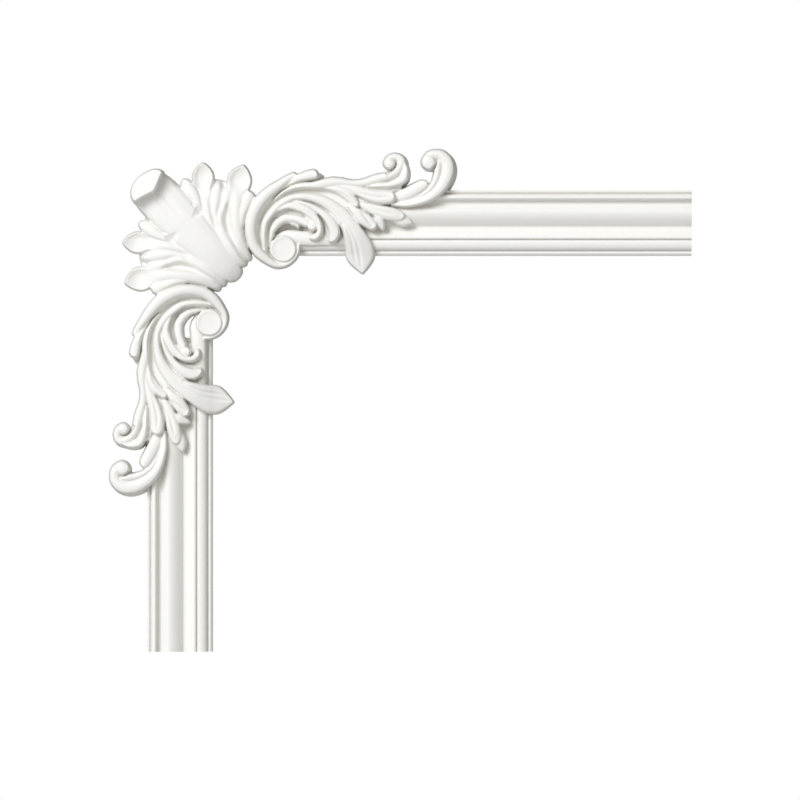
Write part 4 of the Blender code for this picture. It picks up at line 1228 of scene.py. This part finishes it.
# %% A socket that does maths
class Wire:
    """A socket of a material. Sums of wires and numbers add Math nodes, and node() adds any other."""

    def __init__(self, tree, socket=None):
        self.tree, self.socket = tree, socket

    def node(self, kind, settings, inputs, output=0):
        """A new node of this kind: settings first, then a value or a link for each socket."""
        made = self.tree.nodes.new(kind)
        for name, value in settings.items():
            setattr(made, name, value)
        for name, value in inputs.items():
            if isinstance(value, Wire):
                self.tree.links.new(value.socket, made.inputs[name])
            else:
                made.inputs[name].default_value = value
        return Wire(self.tree, made.outputs[output])

    def clamped(self):
        """The same signal kept between 0 and 1."""
        return self.node("ShaderNodeClamp", {}, {"Value": self})

    def between(self, first, second):
        """A colour from first to second, mixed by this signal. The numbers are the Mix node's sockets."""
        return self.node("ShaderNodeMix", {"data_type": "RGBA"}, {0: self, 6: first, 7: second}, 2)

    def feeds(self, node, name):
        """Links this signal to a named socket of a node."""
        self.tree.links.new(self.socket, node.inputs[name])

    def maths(self, operation, first, second):
        return self.node("ShaderNodeMath", {"operation": operation}, {0: first, 1: second})

    def __add__(self, other):
        return self.maths("ADD", self, other)

    def __sub__(self, other):
        return self.maths("SUBTRACT", self, other)

    def __rsub__(self, other):
        return self.maths("SUBTRACT", other, self)

    def __mul__(self, other):
        return self.maths("MULTIPLY", self, other)

    __radd__, __rmul__ = __add__, __mul__


print("operators:", [name for name in ("__add__", "__sub__", "__mul__") if hasattr(Wire, name)])

# %% [markdown]
# ## The primed finish
#
# The real surface is matte white primer over moulded polyurethane: a slightly warm white, a little rougher
# in the hollows, a little smoother on the edges that hands and packing touch, and covered with the fine
# orange peel of a spray gun. A darker, warmer tone is painted into the hollows as shade. Each of these is
# one noise or the hollow number, and each feeds colour, roughness or bump.


# %% Primed white
def primed_white():
    """The matte primer: fresh white, a shade of it in clouds and specks, and painted shade in the hollows."""
    material = bpy.data.materials.new("primed_white")
    material.use_nodes = True
    tree = material.node_tree
    shader = tree.nodes["Principled BSDF"]
    start = Wire(tree)
    place = start.node("ShaderNodeTexCoord", {}, {}, "Object")

    def noise(scale, detail, roughness=0.5):
        return start.node("ShaderNodeTexNoise", {}, {"Vector": place, "Scale": scale, "Detail": detail,
                                                    "Roughness": roughness}, "Fac")

    hollow = start.node("ShaderNodeAttribute", {"attribute_name": "hollow"}, {}, "Fac")
    deep = (hollow * 1.4).clamped()
    edge = (hollow * -1.6).clamped()
    cloud, speck, peel = noise(14, 3), noise(160, 2), noise(900, 2, 0.6)

    # the third colour is painted shade, mixed in where the hollow number is high
    white, shade, painted_shade_colour = (0.83, 0.827, 0.792, 1), (0.81, 0.807, 0.77, 1), (0.62, 0.592, 0.54, 1)
    sprayed = (cloud * 0.5 + speck * 0.2 - 0.1).between(white, shade)
    (deep * 0.34).between(sprayed, painted_shade_colour).feeds(shader, "Base Color")

    rough = 0.50 + cloud * 0.10 + speck * 0.06 + deep * 0.12 - edge * 0.10
    rough.feeds(shader, "Roughness")
    texture = peel * 0.6 + speck * 0.5 + cloud * 1.5
    bump = start.node("ShaderNodeBump", {}, {"Strength": 0.25, "Distance": 0.0004, "Height": texture})
    bump.feeds(shader, "Normal")
    return material


corner.data.materials.clear()
corner.data.materials.append(primed_white())
print("primed_white has", len(corner.data.materials[0].node_tree.nodes), "nodes")

# %% [markdown]
# ## In the frame
#
# The dense casting takes the place of the CAD casting: it rides on the same body and hides that node, and
# the physics keeps using the CAD solid.

# %% Putting the casting in the frame
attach(corner, "root")
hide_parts("corner_moulding")
print("the casting rides on root and replaces corner_moulding")

# %% [markdown]
# ## Light and ground
#
# A catalogue picture of a white casting needs a soft white surround, so that the walls stay light, and one
# large lamp from the upper left, so that the forms read. The ground is a pale floor below the picture. The
# camera itself sees pure white behind the casting.


# %% Studio
def studio_world(sides, front, seen):
    """A white surround, stronger in front, that the camera sees at one plain strength."""
    world = bpy.data.worlds.new("studio")
    world.use_nodes = True
    bpy.context.scene.world = world
    tree = world.node_tree
    start = Wire(tree)
    direct = start.node("ShaderNodeLightPath", {}, {}, "Is Camera Ray")
    direction = start.node("ShaderNodeTexCoord", {}, {}, "Generated")
    depth = start.node("ShaderNodeSeparateXYZ", {}, {0: direction}, "Y")
    before = (depth * -1.0).clamped()
    fill = sides + before * before * front
    background = tree.nodes["Background"]
    warm, white = (1.0, 0.968, 0.925, 1), (1, 1, 1, 1)
    direct.between(warm, white).feeds(background, "Color")
    (fill + direct * (seen - fill)).feeds(background, "Strength")


def lamp(name, place, target, size, watts, colour):
    """A square area lamp aimed at a place."""
    light = bpy.data.objects.new(name, bpy.data.lights.new(name, "AREA"))
    light.data.size, light.data.energy, light.data.color = size, watts, colour
    light.location = place
    aim = Vector(target) - Vector(place)
    light.rotation_mode = "QUATERNION"
    light.rotation_quaternion = aim.to_track_quat("-Z", "Y")
    bpy.context.scene.collection.objects.link(light)


def floor(level, left, right, front, back):
    """A pale floor below the casting, too low for the picture to show."""
    shape = bmesh.new()
    edge = [(left, front), (right, front), (right, back), (left, back)]
    shape.faces.new([shape.verts.new((x, y, level)) for x, y in edge])
    ground = as_object("floor", shape)
    paint = bpy.data.materials.new("pale_floor")
    paint.use_nodes = True
    shader = paint.node_tree.nodes["Principled BSDF"]
    shader.inputs["Base Color"].default_value = (0.74, 0.74, 0.73, 1)
    shader.inputs["Roughness"].default_value = 0.8
    ground.data.materials.append(paint)


studio_world(sides=0.24, front=0.46, seen=1.0)
lamp("key", place=(-4.85, -8.4, 4.75), target=(0.15, 0, -0.1), size=4.0, watts=940,
     colour=(0.985, 1.0, 1.035))
floor(level=-0.75, left=-2.2, right=2.6, front=-3.0, back=1.5)
bpy.context.scene.view_settings.view_transform = "Standard"
print("one lamp, a white surround and a floor")
